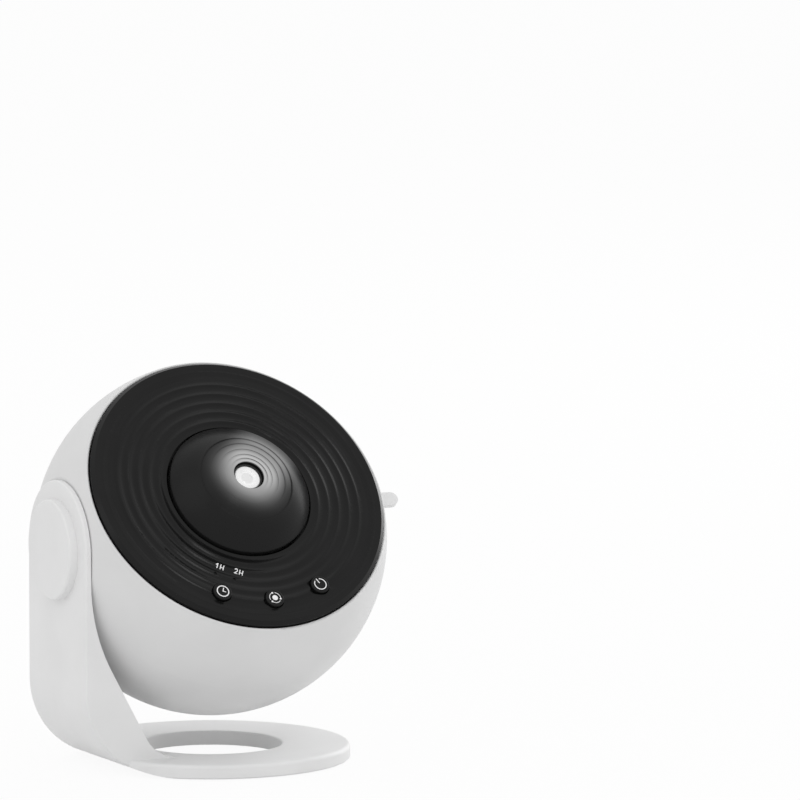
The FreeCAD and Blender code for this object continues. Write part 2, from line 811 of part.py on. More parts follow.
def pivot_hub():
    """Flange inside the ball and the hollow spigot that turns in the arm."""
    body = about_pivot("pivot_hub", "ball")
    turned(body, [
        ("pivot_screw_radius", "flat_inner - hub_thickness - 3"),
        ("spigot_radius - 2", "flat_inner - hub_thickness - 3"),
        ("spigot_radius - 2", "flat_inner - hub_thickness"),
        ("hub_radius", "flat_inner - hub_thickness"),
        ("hub_radius", "flat_inner"),
        ("spigot_radius", "flat_inner"),
        ("spigot_radius", "spigot_end - 0.4"),
        ("spigot_radius - 0.4", "spigot_end"),
        ("pivot_screw_radius", "spigot_end"),
    ])
    screw_holes(body, "XY_Plane", "medium", ring_of("hub_screw_circle", CORNER_ANGLES),
                "hub_thickness", "flat_inner - hub_thickness")


def pivot_washer():
    body = about_pivot("pivot_washer", "ball")
    turned(body, box("pivot_screw_radius + 0.5", "spigot_end", "washer_radius",
                     "spigot_end + washer_thickness"))


def pivot_screw():
    body = about_pivot("pivot_screw", "ball")
    seat_face = "spigot_end + washer_thickness"
    turned(body, [
        ("0", f"{seat_face} - 9"),
        ("pivot_screw_radius", f"{seat_face} - 9"),
        ("pivot_screw_radius", seat_face),
        ("pivot_screw_head", seat_face),
        ("pivot_screw_head", f"{seat_face} + 0.35"),
        ("pivot_screw_head - 0.4", f"{seat_face} + 0.65"),
        ("0", f"{seat_face} + 0.65"),
    ])


def hub_screws():
    """Four screws from inside the ball, two into each shell's flat wall."""
    screws = []
    for across, up in ring_of("hub_screw_circle", CORNER_ANGLES):
        place = ("-(flat_inner - hub_thickness)", across, up)
        screws.append(screw(place, (-1, 0, 0), "medium", "hub_thickness + shell_wall - 0.6"))
    group("hub_screws", "ball", screws)


# ---------------------------------------------------------------- shells of the ball

def flat_wall(body, upper):
    """Half of the disc that closes the ball at the pivot, with half of the spigot's hole."""
    turn = "left" if upper else "right"
    # the YZ plane's first axis is Y and its second Z, the lens axis
    padded(body, "YZ_Plane", [[
        ("flat_radius", "0"), (turn, "0", "0"), ("-flat_radius", "0"),
    ]], "shell_wall + 3", "-flat_inner", reverse=True)
    cut(body, "YZ_Plane", [circle("ball_radius")], "20", "-flat_distance", up=False)
    cut(body, "YZ_Plane", [circle("spigot_radius + seat_gap")],
        "shell_wall + 6", "-flat_distance - 1")
    cut(body, "YZ_Plane", [circle("friction_outer + seat_gap")],
        "friction_recess + 1", "-flat_distance - 1")
    angles = CORNER_ANGLES[:2] if upper else CORNER_ANGLES[2:]
    screw_pilots(body, "YZ_Plane", "medium", ring_of("hub_screw_circle", angles),
                 "shell_wall - 0.5", "-flat_inner", up=False)


def front_shell():
    """White zone between the ball's middle and the black panel, with a thin rounded rim."""
    body = new_body("front_shell", "ball")
    turned(body, [
        ("shell_bore + 0.1", "-seam_lip"),
        ("ball_radius - shell_wall / 2 - 0.1", "-seam_lip"),
        ("ball_radius - shell_wall / 2 - 0.1", "0"),
        ("ball_radius", "0"),
        ("left", "0", "0"),
        ("rim_outer", "rim_height"),
        ("left", "(rim_outer + opening_radius) / 2", "rim_height"),
        ("opening_radius", "rim_height"),
        ("opening_radius", "ledge_top"),
        ("ledge_radius", "ledge_top"),
        ("ledge_radius", "ledge_top - ledge_thickness"),
        ("sqrt(shell_bore^2 - (ledge_top - ledge_thickness)^2)", "ledge_top - ledge_thickness"),
        ("right", "0", "0"),
        ("shell_bore + 0.1", "0"),
    ])
    bosses = [circle("boss_radius - 0.8", *on_circle("boss_circle", a)) for a in CORNER_ANGLES]
    padded(body, "XY_Plane", bosses, "ledge_top - ledge_thickness + 0.5")
    screw_pilots(body, "XY_Plane", "large", ring_of("boss_circle", CORNER_ANGLES), "14", "0")
    flat_wall(body, True)
    turned_cut(body, box("0", "ledge_top", "opening_radius", "ball_radius"))
    # slot that the film cartridge slides through
    cut(body, "XY_Plane", [box("ball_radius - 25", "-slot_half", "ball_radius + 3", "slot_half")],
        "channel_roof - channel_floor", "channel_floor")
    # screw holes through the ledge, for the panel
    screw_holes(body, "XY_Plane", "small", ring_of("skirt_circle", SKIRT_ANGLES),
                "ledge_thickness", "ledge_top - ledge_thickness")


def board_posts():
    return [(f"{side} * (board_half - board_post_inset)", "-board_screw_place")
            for side in (-1, 1)]


def rear_shell():
    """Rear half of the ball, with its vents, screw wells and the charging inlet."""
    body = new_body("rear_shell", "ball")
    step = "ball_radius - shell_wall / 2"
    turned(body, [
        ("0", "-ball_radius"),
        ("left", "0", "0"),
        ("ball_radius", "0"),
        (step, "0"),
        (step, "-seam_lip - 0.2"),
        ("sqrt(shell_bore^2 - (seam_lip + 0.2)^2)", "-seam_lip - 0.2"),
        ("right", "0", "0"),
        ("0", "-shell_bore"),
    ])
    wells = [circle("boss_radius", *on_circle("boss_circle", a)) for a in CORNER_ANGLES]
    padded(body, "XY_Plane", wells, "0.6 * ball_radius", "-0.6 * ball_radius")
    # posts for the control board
    padded(body, "XZ_Plane", [circle("board_post_radius", *place) for place in board_posts()],
           "sqrt(shell_bore^2 - board_screw_place^2) - board_offset",
           "board_offset + board_thickness")
    screw_pilots(body, "XZ_Plane", "medium", board_posts(), "screw_bite + 1",
                 "board_offset + board_thickness")
    # everything outside the ball is trimmed off
    turned_cut(body, [
        ("0", "-ball_radius"),
        ("left", "0", "0"),
        ("ball_radius", "0"),
        ("ball_radius + 12", "0"),
        ("ball_radius + 12", "-ball_radius - 12"),
        ("0", "-ball_radius - 12"),
    ])
    places = ring_of("boss_circle", CORNER_ANGLES)
    screw_holes(body, "XY_Plane", "large", places, "ball_radius", "-ball_radius")
    wide = [circle("large_head + screw_clearance", *place) for place in places]
    cut(body, "XY_Plane", wide, "ball_radius - shell_head_depth", "-ball_radius")
    flat_wall(body, False)
    turned_cut(body, box("shell_bore", "-seam_lip - 0.2", step, "0"))
    # stop that runs in the arm's slot
    padded(body, "YZ_Plane", [circle("stop_radius", "0", "-stop_circle")],
           "arm_face - 0.5 - flat_inner", "-flat_inner", reverse=True)
    # vents round the rear pole, in line with the heat sink
    vent = cut(body, "XY_Plane", [[
        ("vent_inner", "-vent_width / 2"),
        ("vent_outer", "-vent_width / 2"),
        ("left", "vent_outer", "0"),
        ("vent_outer", "vent_width / 2"),
        ("vent_inner", "vent_width / 2"),
        ("left", "vent_inner", "0"),
    ]], "20", "-ball_radius - 1")
    pattern(body, [vent], "vent_count")
    # opening of the charging inlet, in a shallow recess
    cut(body, "XY_Plane", [lozenge("usb_width / 2 + 0.3", "usb_height / 2 + 0.35")],
        "ball_radius - usb_face + 6", "-ball_radius - 1")
    cut(body, "XY_Plane", [lozenge("usb_width / 2 + 1.6", "usb_height / 2 + 1.9")],
        "ball_radius - usb_face - 2 + 1", "-ball_radius - 1")


def shell_screws():
    screws = []
    for place in ring_of("boss_circle", CORNER_ANGLES):
        screws.append(screw((*place, "-shell_head_depth"), (0, 0, 1), "large",
                            "shell_head_depth + 10"))
    group("shell_screws", "ball", screws)


# ---------------------------------------------------------------- front panel

def rippled_front():
    """The panel's front outline from the dome's hole outwards: six soft waves, then a flat rim."""
    outline = [("dome_hole", "panel_front")]
    quarter = "ripple_pitch / 4"
    crest = "panel_front - groove_curve"
    trough = "panel_front - ripple_depth + groove_curve"
    middle = "panel_front - ripple_depth / 2"
    count = int(number("ripple_count"))
    first = "ripple_first - ripple_pitch / 2"
    outline += [(first, "panel_front"), ("right", first, crest)]
    for wave in range(count):
        centre = f"ripple_first + {wave} * ripple_pitch"
        outline += [(f"{centre} - {quarter}", middle), ("left", centre, trough),
                    (f"{centre} + {quarter}", middle)]
        outline += [("right", f"{centre} + ripple_pitch / 2", crest)]
    last = f"ripple_first + {count - 1} * ripple_pitch + ripple_pitch / 2"
    outline.append((last, "panel_front"))
    return outline


def face_panel():
    """Black front panel: rippled face, chamfered edge, hidden skirt and posts behind."""
    body = new_body("face_panel", "ball")
    turned(body, rippled_front() + [
        ("panel_radius - panel_chamfer", "panel_front"),
        ("panel_radius", "panel_front - panel_chamfer"),
        ("panel_radius", "panel_foot"),
        ("panel_radius - panel_skirt", "panel_foot"),
        ("panel_radius - panel_skirt", "panel_back"),
        ("dome_hole", "panel_back"),
    ])
    posts = ring_of("post_circle", CORNER_ANGLES)
    padded(body, "XY_Plane", [circle("post_radius", *place) for place in posts],
           "panel_back - plate_top + 0.5", "plate_top")
    small = ring_of("button_circle", BOARD_POST_ANGLES)
    padded(body, "XY_Plane", [circle("small_shank + 1.2", *place) for place in small],
           "panel_back - switch_foot + 0.5", "switch_foot")
    screw_pilots(body, "XY_Plane", "medium", posts, "screw_bite + 4", "plate_top")
    screw_pilots(body, "XY_Plane", "small", small, "screw_bite + 1", "switch_foot")
    screw_pilots(body, "XY_Plane", "small", ring_of("skirt_circle", SKIRT_ANGLES),
                 "screw_bite + 0.6", "panel_foot")
    screw_pilots(body, "XY_Plane", "small", ring_of("retainer_circle", RETAINER_ANGLES),
                 "panel_thickness - 1", "panel_back")
    holes = [circle("button_radius + free_gap", *place)
             for place in ring_of("button_circle", BUTTON_ANGLES)]
    holes += [circle("light_pipe_radius + 0.05", *on_circle(r, a)) for r, a in LIGHT_PIPES]
    cut(body, "XY_Plane", holes, "panel_thickness + 1", "panel_back - 0.5")


def panel_screws():
    """Four screws through the shell's ledge into the panel's skirt."""
    screws = []
    for place in ring_of("skirt_circle", SKIRT_ANGLES):
        screws.append(screw((*place, "ledge_top - ledge_thickness"), (0, 0, 1), "small",
                            "ledge_thickness + screw_bite + 0.5"))
    group("panel_screws", "ball", screws)


def dome_retainer():
    """Ring behind the panel that traps the dome's flange and lets it turn."""
    body = new_body("dome_retainer", "ball")
    turned(body, [
        ("dome_radius - 1", "retainer_foot"),
        ("retainer_circle + 2.4", "retainer_foot"),
        ("retainer_circle + 2.4", "panel_back"),
        ("dome_flange + free_gap", "panel_back"),
        ("dome_flange + free_gap", "flange_foot - free_gap"),
        ("dome_radius - 1", "flange_foot - free_gap"),
    ])
    screw_holes(body, "XY_Plane", "small", ring_of("retainer_circle", RETAINER_ANGLES),
                "panel_back - retainer_foot", "retainer_foot")


def retainer_screws():
    screws = []
    for place in ring_of("retainer_circle", RETAINER_ANGLES):
        screws.append(screw((*place, "retainer_foot"), (0, 0, 1), "small",
                            "panel_front - retainer_foot - 1.1"))
    group("retainer_screws", "ball", screws)


# ---------------------------------------------------------------- focusing dome and lens

def dome_height(radius):
    return f"dome_centre + sqrt(dome_curve^2 - ({radius})^2)"


def dome_inside(radius):
    return f"dome_centre + sqrt(dome_bore^2 - ({radius})^2)"


def focus_dome():
    """Turning dome round the lens, with shallow terraces by the hole and the cam sleeve inside."""
    body = new_body("focus_dome", "ball")
    outline = [
        ("cam_outer", dome_inside("cam_outer")),
        ("cam_outer", "barrel_foot"),
        ("cam_bore", "barrel_foot"),
        ("cam_bore", dome_inside("cam_bore")),
        ("left", "0", "dome_centre"),
        ("lens_hole", dome_inside("lens_hole")),
    ]
    count = int(number("step_count"))
    span = "(step_outer - step_inner)"
    edges = ["lens_hole"] + [f"step_inner + {span} * ({k} / (step_count - 1))^step_spread"
                             for k in range(count)]
    for place in range(count):
        drop = f"{count - place} * step_drop"
        inner, outer = edges[place], edges[place + 1]
        outline.append((inner, f"{dome_height(inner)} - {drop}"))
        outline.append(("right", "0", f"dome_centre - {drop}"))
        outline.append((outer, f"{dome_height(outer)} - {drop}"))
    outline += [
        ("step_outer", dome_height("step_outer")),
        ("right", "0", "dome_centre"),
        ("dome_radius", "dome_edge"),
        ("dome_radius", "flange_top"),
        ("dome_flange", "flange_top"),
        ("dome_flange", "flange_foot"),
        ("dome_radius - dome_wall", "flange_foot"),
        ("dome_radius - dome_wall", dome_inside("dome_radius - dome_wall")),
        ("left", "0", "dome_centre"),
    ]
    turned(body, outline)
    # three helical slots in the cam sleeve move the lens as the dome turns
    start, half = "cam_height - cam_rise / 2", "(pin_radius + 0.15)"
    section = sketch(body, "XZ_Plane", [box("cam_bore - 0.4", f"{start} - {half}",
                                            "cam_outer + 0.4", f"{start} + {half}")])
    slot = body.newObject("PartDesign::SubtractiveHelix", "CamSlot")
    slot.Profile = section
    slot.ReferenceAxis = (section, ["V_Axis"])
    slot.Mode = 0
    slot.Pitch = number("cam_lead")
    slot.Height = number("cam_rise")
    bind(slot, "Pitch", "cam_lead")
    bind(slot, "Height", "cam_rise")
    pattern(body, [slot], "pin_count")


def lens_guide():
    """Fixed tube with straight slots: it keeps the lens barrel from turning."""
    body = new_body("lens_guide", "ball", spin="cam_span / 2")
    turned(body, [
        ("guide_bore", "plate_top"),
        ("cam_outer + 3", "plate_top"),
        ("cam_outer + 3", "plate_top + 1.6"),
        ("guide_outer", "plate_top + 1.6"),
        ("guide_outer", "lens_front - 7.6"),
        ("guide_bore", "lens_front - 7.6"),
    ])
    side = "pin_radius + 0.15"
    reach = "focus_travel + pin_radius + 0.3"
    slot = cut(body, "YZ_Plane", [box(f"-({side})", f"cam_height - ({reach})", side,
                                      f"cam_height + {reach}")], "6", "guide_bore - 2")
    pattern(body, [slot], "pin_count")


def lens_barrel():
    """Sliding barrel that holds the two lenses and shows its nose in the dome's hole."""
    body = new_body("lens_barrel", "ball", spin="cam_span / 2")
    turned(body, [
        ("barrel_radius - 1.9", "barrel_foot"),
        ("barrel_radius", "barrel_foot"),
        ("barrel_radius", "lens_front - 7.2"),
        ("nose_radius", "lens_front - 5.4"),
        ("nose_radius", "lens_front - 0.25"),
        ("nose_radius - 0.25", "lens_front"),
        ("nose_radius - nose_wall + 0.15", "lens_front"),
        ("nose_radius - nose_wall", "lens_front - 0.15"),
        ("nose_radius - nose_wall", "lens_front - 3.3"),
        ("nose_radius - 1.8", "lens_front - 3.3"),
        ("nose_radius - 1.8", "lens_front - 6.4"),
        ("barrel_radius - 1.9", "lens_front - 9"),
    ])
    hole = cut(body, "YZ_Plane", [circle("pin_radius", "0", "cam_height")], "4",
               "barrel_radius - pin_seat")
    pattern(body, [hole], "pin_count")


def focus_pins():
    """Three pins of the barrel that run through the guide's slots into the cam slots."""
    body = new_body("focus_pins", "ball", spin="cam_span / 2")
    pin = padded(body, "YZ_Plane", [circle("pin_radius", "0", "cam_height")],
                 "cam_outer - 0.2 - (barrel_radius - pin_seat)", "barrel_radius - pin_seat")
    pattern(body, [pin], "pin_count")


def glass(label, radius, crown, foot, rim, below="0", above="0"):
    """A lens: a flat rim, and inside the crown radius a face that is flat or crowned."""
    body = new_body(label, "ball")
    top = f"{foot} + {rim}"

    def curve(bulge):
        return f"(({crown})^2 + ({bulge})^2) / (2 * ({bulge}))"

    outline = [("0", f"{foot} - {below}")]
    if below != "0":
        outline += [("left", "0", f"{foot} - {below} + {curve(below)}"), (crown, foot)]
    outline += [(radius, foot), (radius, top)]
    if above != "0":
        outline += [(crown, top), ("left", "0", f"{top} + {above} - {curve(above)}")]
    outline.append(("0", f"{top} + {above}"))
    turned(body, outline)


def front_lens():
    glass("front_lens", "bezel_bore", "bezel_bore - 0.3", "lens_front - 2.2", "1.1", above="0.6")


def lens_ring():
    """Pale bezel round the small front lens."""
    body = new_body("lens_ring", "ball")
    outer = "nose_radius - nose_wall - 0.05"
    turned(body, [
        ("bezel_bore - 0.4", "lens_front - 3.3"),
        (outer, "lens_front - 3.3"),
        (outer, "lens_front - 0.7"),
        (f"{outer} - 0.3", "lens_front - 0.4"),
        ("bezel_bore + 0.5", "lens_front - 0.4"),
        ("bezel_bore", "lens_front - 0.9"),
        ("bezel_bore", "lens_front - 2.2"),
        ("bezel_bore - 0.4", "lens_front - 2.2"),
    ])


def lens_spacer():
    """Tube with a light stop that keeps the rear lens at its distance."""
    body = new_body("lens_spacer", "ball")
    outer = "barrel_radius - 2"
    turned(body, [
        (f"{outer} - 1.3", "rear_lens_foot + rear_lens_rim"),
        (outer, "rear_lens_foot + rear_lens_rim"),
        (outer, "lens_front - 9.1"),
        ("4.5", "lens_front - 9.1"),
        ("4.5", "lens_front - 10"),
        (f"{outer} - 1.3", "lens_front - 10"),
    ])


def rear_lens():
    glass("rear_lens", "barrel_radius - 2", "barrel_radius - 3.4", "rear_lens_foot",
          "rear_lens_rim", below="1.4", above="1.4")


# ---------------------------------------------------------------- buttons

def buttons():
    """Three round push buttons in the panel, each on the plunger of its switch."""
    for name, angle in zip(BUTTON_NAMES, BUTTON_ANGLES):
        place = on_circle("button_circle", angle)
        button = new_body(name, "ball", *place)
        turned(button, [
            ("0", "button_foot"),
            ("button_flange", "button_foot"),
            ("button_flange", "panel_back - 0.1"),
            ("button_radius", "panel_back - 0.1"),
            ("button_radius", "button_top - 0.5"),
            ("left", "button_radius - 0.5", "button_top - 0.5"),
            ("button_radius - 0.5", "button_top"),
            ("0", "button_top - 0.1"),
        ])
        plunger = new_body(name.replace("button", "plunger"), "ball", *place)
        turned(plunger, box("0", "switch_top - plunger_depth", "plunger_radius", "button_foot"))


def button_board():
    """Crescent circuit board under the buttons."""
    body = new_body("button_board", "ball")
    low, high = "-90 - button_spread - 12", "-90 + button_spread + 12"
    inner, outer = "button_circle - 10", "ledge_radius - 0.6"
    padded(body, "XY_Plane", [
        [on_circle(inner, low), on_circle(outer, low), ("left", "0", "0"), on_circle(outer, high),
         on_circle(inner, high), ("right", "0", "0")],
    ], "button_board_thickness", "switch_foot - button_board_thickness")
    screw_holes(body, "XY_Plane", "small", ring_of("button_circle", BOARD_POST_ANGLES),
                "button_board_thickness", "switch_foot - button_board_thickness")


def tact_switches():
    """Three square switches, each with a well that its plunger sinks into."""
    body = new_body("tact_switches", "ball")
    places = ring_of("button_circle", BUTTON_ANGLES)
    half = "switch_side / 2"
    for across, up in places:
        square = box(f"{across} - {half}", f"{up} - {half}", f"{across} + {half}", f"{up} + {half}")
        padded(body, "XY_Plane", [square], "switch_height", "switch_foot")
    wells = [circle("plunger_radius + seat_gap", *place) for place in places]
    cut(body, "XY_Plane", wells, "plunger_depth + button_travel + 0.2", "switch_top", up=False)


def indicator_pipes():
    pipes = [rod("light_pipe_radius", "panel_front - ripple_depth - 0.1 - switch_foot",
                 (*on_circle(r, a), "switch_foot")) for r, a in LIGHT_PIPES]
    group("indicator_pipes", "ball", pipes)


# ---------------------------------------------------------------- film cartridge

def film_tray():
    """Flat cartridge that slides in from the side, with side arms and a finger tab."""
    body = new_body("film_tray", "ball")
    end = "sqrt((ball_radius - 0.4)^2 - tray_top^2)"
    corner = f"sqrt(({end})^2 - tray_half^2)"
    arm = "tray_half - tray_wall"
    padded(body, "XY_Plane", [[
        ("-tray_arm_end", "-tray_half"),
        (corner, "-tray_half"), ("left", "0", "0"), (corner, "tray_half"),
        ("-tray_arm_end", "tray_half"),
        ("-tray_arm_end", arm),
        ("-tray_nose", arm),
        ("-tray_nose", f"-({arm})"),
        ("-tray_arm_end", f"-({arm})"),
    ]], "tray_thickness", "tray_foot")
    cut(body, "XY_Plane", [circle("tray_pocket")], "tray_thickness - tray_floor",
        "tray_foot + tray_floor")
    cut(body, "XY_Plane", [circle("film_radius + 0.9")], "tray_thickness", "tray_foot")
    low, high = "tab_lift - tab_width / 2", "tab_lift + tab_width / 2"
    bend = "tab_tip - tab_width / 2"
    padded(body, "XY_Plane", [[
        (f"{end} - 3", low),
        (bend, low), ("left", bend, "tab_lift"), (bend, high),
        (f"{end} - 3", high),
    ]], "tab_thickness", "film_height - tab_thickness / 2")
    recess = "tray_pocket + 0.9"
    cut(body, "XY_Plane", [circle(recess)], "0.6", "tray_top - 0.6")


def disc_cover():
    """Thin cover that keeps the film gear in the cartridge."""
    body = new_body("disc_cover", "ball")
    outer, inner = "tray_pocket + 0.7", "film_radius + 0.9"
    nose = "tray_nose"
    padded(body, "XY_Plane", [
        [(f"-{nose}", f"-sqrt(({outer})^2 - {nose}^2)"), ("left", "0", "0"),
         (f"-{nose}", f"sqrt(({outer})^2 - {nose}^2)"),
         (f"-{nose}", f"sqrt(({inner})^2 - {nose}^2)"), ("right", "0", "0"),
         (f"-{nose}", f"-sqrt(({inner})^2 - {nose}^2)")],
    ], "0.6", "tray_top - 0.6")


def involute(base, radius):
    """Polar angle of the involute of a base circle, at a radius."""
    reach = math.sqrt(max(radius * radius - base * base, 0.0)) / base
    return reach - math.atan(reach)


def gear_face(teeth, module, backlash, turn, centre):
    """Face of a spur gear, flank by flank, with 20 degree involute teeth."""
    pitch = module * teeth / 2
    base = pitch * math.cos(math.radians(20))
    tip, root = pitch + module * 0.95, pitch - module * 1.2
    low = max(base, root + 0.02)
    half = math.pi / (2 * teeth) - backlash / (4 * pitch)
    at_pitch = involute(base, pitch)

    def point(radius, angle):
        return Vector(centre + radius * math.cos(angle), radius * math.sin(angle), 0)

    edges = []
    step = 2 * math.pi / teeth
    for tooth in range(teeth):
        middle = tooth * step + turn
        flank = []
        for share in (0.0, 0.5, 1.0):
            radius = low + share * (tip - low)
            flank.append((radius, half + at_pitch - involute(base, radius)))
        rise = [point(radius, middle - angle) for radius, angle in flank]
        fall = [point(radius, middle + angle) for radius, angle in reversed(flank)]
        foot = half + at_pitch - involute(base, low)
        root_in, root_out = point(root, middle - foot), point(root, middle + foot)
        next_root = point(root, middle + step - foot)
        gap_middle = point(root, middle + step / 2)
        edges.append(Part.LineSegment(root_in, rise[0]).toShape())
        edges.append(Part.Arc(*rise).toShape())
        edges.append(Part.Arc(rise[2], point(tip, middle), fall[0]).toShape())
        edges.append(Part.Arc(*fall).toShape())
        edges.append(Part.LineSegment(fall[2], root_out).toShape())
        edges.append(Part.Arc(root_out, gap_middle, next_root).toShape())
    return Part.Face(Part.Wire(edges))


def gear_node(label, teeth, turn, foot, thickness, across, bores):
    """A gear blank with stepped bores. bores lists (radius, from height, to height)."""
    centre = number(across)
    face = gear_face(teeth, number("gear_module"), number("tooth_backlash"), turn, centre)
    solid = face.extrude(Vector(0, 0, number(thickness)))
    solid.translate(Vector(0, 0, number(foot)))
    for radius, bottom, top in bores:
        height = number(top) - number(bottom)
        solid = solid.cut(Part.makeCylinder(number(radius), height,
                                            Vector(centre, 0, number(bottom))))
    node = document.addObject("Part::Feature", label)
    node.Label = label
    node.Shape = solid
    seat(node, "ball")


def disc_gear():
    """Ring gear that carries the film, toothed all round."""
    bores = [("film_window", "gear_foot - 1", "gear_top + 1"),
             ("film_radius + 0.1", "gear_top - 0.7", "gear_top + 1")]
    gear_node("disc_gear", int(number("gear_teeth")), 0.0, "gear_foot", "gear_thickness", "0",
              bores)


def film_disc():
    body = new_body("film_disc", "ball")
    padded(body, "XY_Plane", [circle("film_radius")], "0.25", "gear_top - 0.7")


def disc_clip():
    """Springy ring, open at one place, that holds the film in its gear."""
    body = new_body("disc_clip", "ball")
    padded(body, "XY_Plane", [circle("film_radius"), circle("film_window + 0.3")],
           "0.35", "gear_top - 0.45")
    cut(body, "XY_Plane", [box("film_window - 1", "-1.5", "film_radius + 1", "1.5")],
        "1", "gear_top - 0.6")


def drive_pinion():
    """Small gear on the motor's shaft, a gap facing the big gear's tooth."""
    teeth = int(number("pinion_teeth"))
    turn = math.pi / teeth if int(number("gear_teeth")) % 2 == 0 else 0.0
    bores = [("shaft_radius", "channel_floor", "channel_roof")]
    gear_node("drive_pinion", teeth, turn, "tray_foot + 0.3", "tray_thickness - 0.6",
              "-pinion_place", bores)


def motor_shaft():
    shaft = rod("shaft_radius", "tray_top - 0.3 - (plate_foot - shaft_seat)",
                ("-pinion_place", "0", "plate_foot - shaft_seat"))
    group("motor_shaft", "ball", [shaft])


# ---------------------------------------------------------------- cartridge guide

def tray_guide_upper():
    """Plate above the cartridge, hung on the panel's four posts."""
    body = new_body("tray_guide_upper", "ball")
    long_side, wide_side = "guide_length - guide_bevel", "guide_half - guide_bevel"
    padded(body, "XY_Plane", [[
        (f"-({long_side})", "-guide_half"), (long_side, "-guide_half"),
        ("guide_length", f"-({wide_side})"), ("guide_length", wide_side),
        (long_side, "guide_half"), (f"-({long_side})", "guide_half"),
        ("-guide_length", wide_side), ("-guide_length", f"-({wide_side})"),
    ]], "guide_plate", "channel_roof")
    cut(body, "XY_Plane", [circle("barrel_radius + 0.5")], "guide_plate", "channel_roof")
    screw_holes(body, "XY_Plane", "medium", ring_of("post_circle", CORNER_ANGLES),
                "guide_plate", "channel_roof")
    screw_pilots(body, "XY_Plane", "small", rail_screw_places(), "guide_plate - 0.4",
                 "channel_roof")


def rail_screw_places():
    return [(across, f"{side} * rail_centre") for across, side in RAIL_SCREWS]


def post_screws():
    screws = []
    for place in ring_of("post_circle", CORNER_ANGLES):
        screws.append(screw((*place, "channel_roof"), (0, 0, 1), "medium",
                            "guide_plate + screw_bite + 3.5"))
    group("post_screws", "ball", screws)


def tray_guide_lower():
    """Lower plate with the two rails, the lamp opening and the motor's socket."""
    body = new_body("tray_guide_lower", "ball")
    outer = "slot_half + rail_width"
    padded(body, "XY_Plane", [box("-guide_length", f"-({outer})", "guide_length", outer)],
           "channel_roof - plate_foot", "plate_foot")
    cut(body, "XY_Plane", [box("-guide_length - 1", "-slot_half", "guide_length + 1", "slot_half")],
        "channel_roof - channel_floor", "channel_floor")
    gap, wall = "0.1", "motor_cup_wall + 0.1"
    padded(body, "XY_Plane", [
        box(f"-pinion_place - motor_side - ({wall})", f"-motor_half - ({wall})",
            f"-pinion_place + motor_side + {wall}", f"motor_half + {wall}"),
        box(f"-pinion_place - motor_side - {gap}", f"-motor_half - {gap}",
            f"-pinion_place + motor_side + {gap}", f"motor_half + {gap}"),
    ], "motor_cup", "plate_foot", reverse=True)
    holes = [circle("tube_bore - 0.7"), circle("2 * shaft_radius + 0.2", "-pinion_place", "0")]
    cut(body, "XY_Plane", holes, "guide_plate", "plate_foot")
    screw_holes(body, "XY_Plane", "small", rail_screw_places(), "channel_roof - plate_foot",
                "plate_foot")
    screw_pilots(body, "XY_Plane", "small", ring_of("tube_screw_circle", TUBE_SCREW_ANGLES),
                 "guide_plate - 0.4", "plate_foot")


def guide_screws():
    screws = []
    for place in rail_screw_places():
        screws.append(screw((*place, "plate_foot"), (0, 0, 1), "small",
                            "channel_roof - plate_foot + guide_plate - 0.5"))
    group("guide_screws", "ball", screws)


# ---------------------------------------------------------------- lamp

def condenser_tube():
    """Tube between the lamp and the film, with a band that both condenser lenses seat on."""
    body = new_body("condenser_tube", "ball")
    band_top = "lens_rib_foot + lens_rib_height"
    turned(body, [
        ("tube_bore", "tube_foot"),
        ("lamp_radius", "tube_foot"),
        ("lamp_radius", "tube_foot + tube_flange_height"),
        ("tube_outer", "tube_foot + tube_flange_height"),
        ("tube_outer", "plate_foot - tube_flange_height"),
        ("tube_flange", "plate_foot - tube_flange_height"),
        ("tube_flange", "plate_foot"),
        ("tube_bore", "plate_foot"),
        ("tube_bore", band_top),
        ("tube_bore - lens_rib_width", band_top),
        ("tube_bore - lens_rib_width", "lens_rib_foot"),
        ("tube_bore", "lens_rib_foot"),
    ])
    screw_holes(body, "XY_Plane", "small", ring_of("tube_screw_circle", TUBE_SCREW_ANGLES),
                "plate_foot - tube_foot", "tube_foot")


def condenser_lens_front():
    """Upper lens, flat towards the film."""
    glass("condenser_lens_front", "tube_bore - 0.15", "tube_bore - lens_rib_width - 0.1",
          "lens_rib_foot + lens_rib_height", "lens_rim", below="lens_bulge")


def condenser_lens_rear():
    """Lower lens, flat towards the lamp."""
    glass("condenser_lens_rear", "tube_bore - 0.15", "tube_bore - lens_rib_width - 0.1",
          "lens_rib_foot - lens_rim", "lens_rim", above="lens_bulge")


def lens_snap_rings():
    """Two spring rings that hold the condenser lenses against the band."""
    body = new_body("lens_snap_rings", "ball")
    above = "lens_rib_foot + lens_rib_height + lens_rim"
    below = "lens_rib_foot - lens_rim - snap_ring"
    for foot in (above, below):
        padded(body, "XY_Plane", [circle("tube_bore"), circle("tube_bore - 1.3")],
               "snap_ring", foot)


def led_board():
    body = new_body("led_board", "ball")
    padded(body, "XY_Plane", [circle("lamp_radius")], "lamp_board", "sink_top")
    screw_holes(body, "XY_Plane", "small", ring_of("tube_screw_circle", TUBE_SCREW_ANGLES),
                "lamp_board", "sink_top")


def led_emitter():
    """Square lamp with a domed lens on the round board."""
    base = block(("-emitter_side / 2", "-emitter_side / 2", "tube_foot"),
                 ("emitter_side", "emitter_side", "emitter_height"))
    dome = document.addObject("Part::Sphere", "Dome")
    dome.Radius = number("emitter_dome")
    dome.Angle1 = 0
    dome.Placement.Base = Vector(0, 0, number("tube_foot + emitter_height"))
    bind(dome, "Radius", "emitter_dome")
    bind(dome, "Placement.Base.z", "tube_foot + emitter_height")
    group("led_emitter", "ball", [joined([base, dome])])


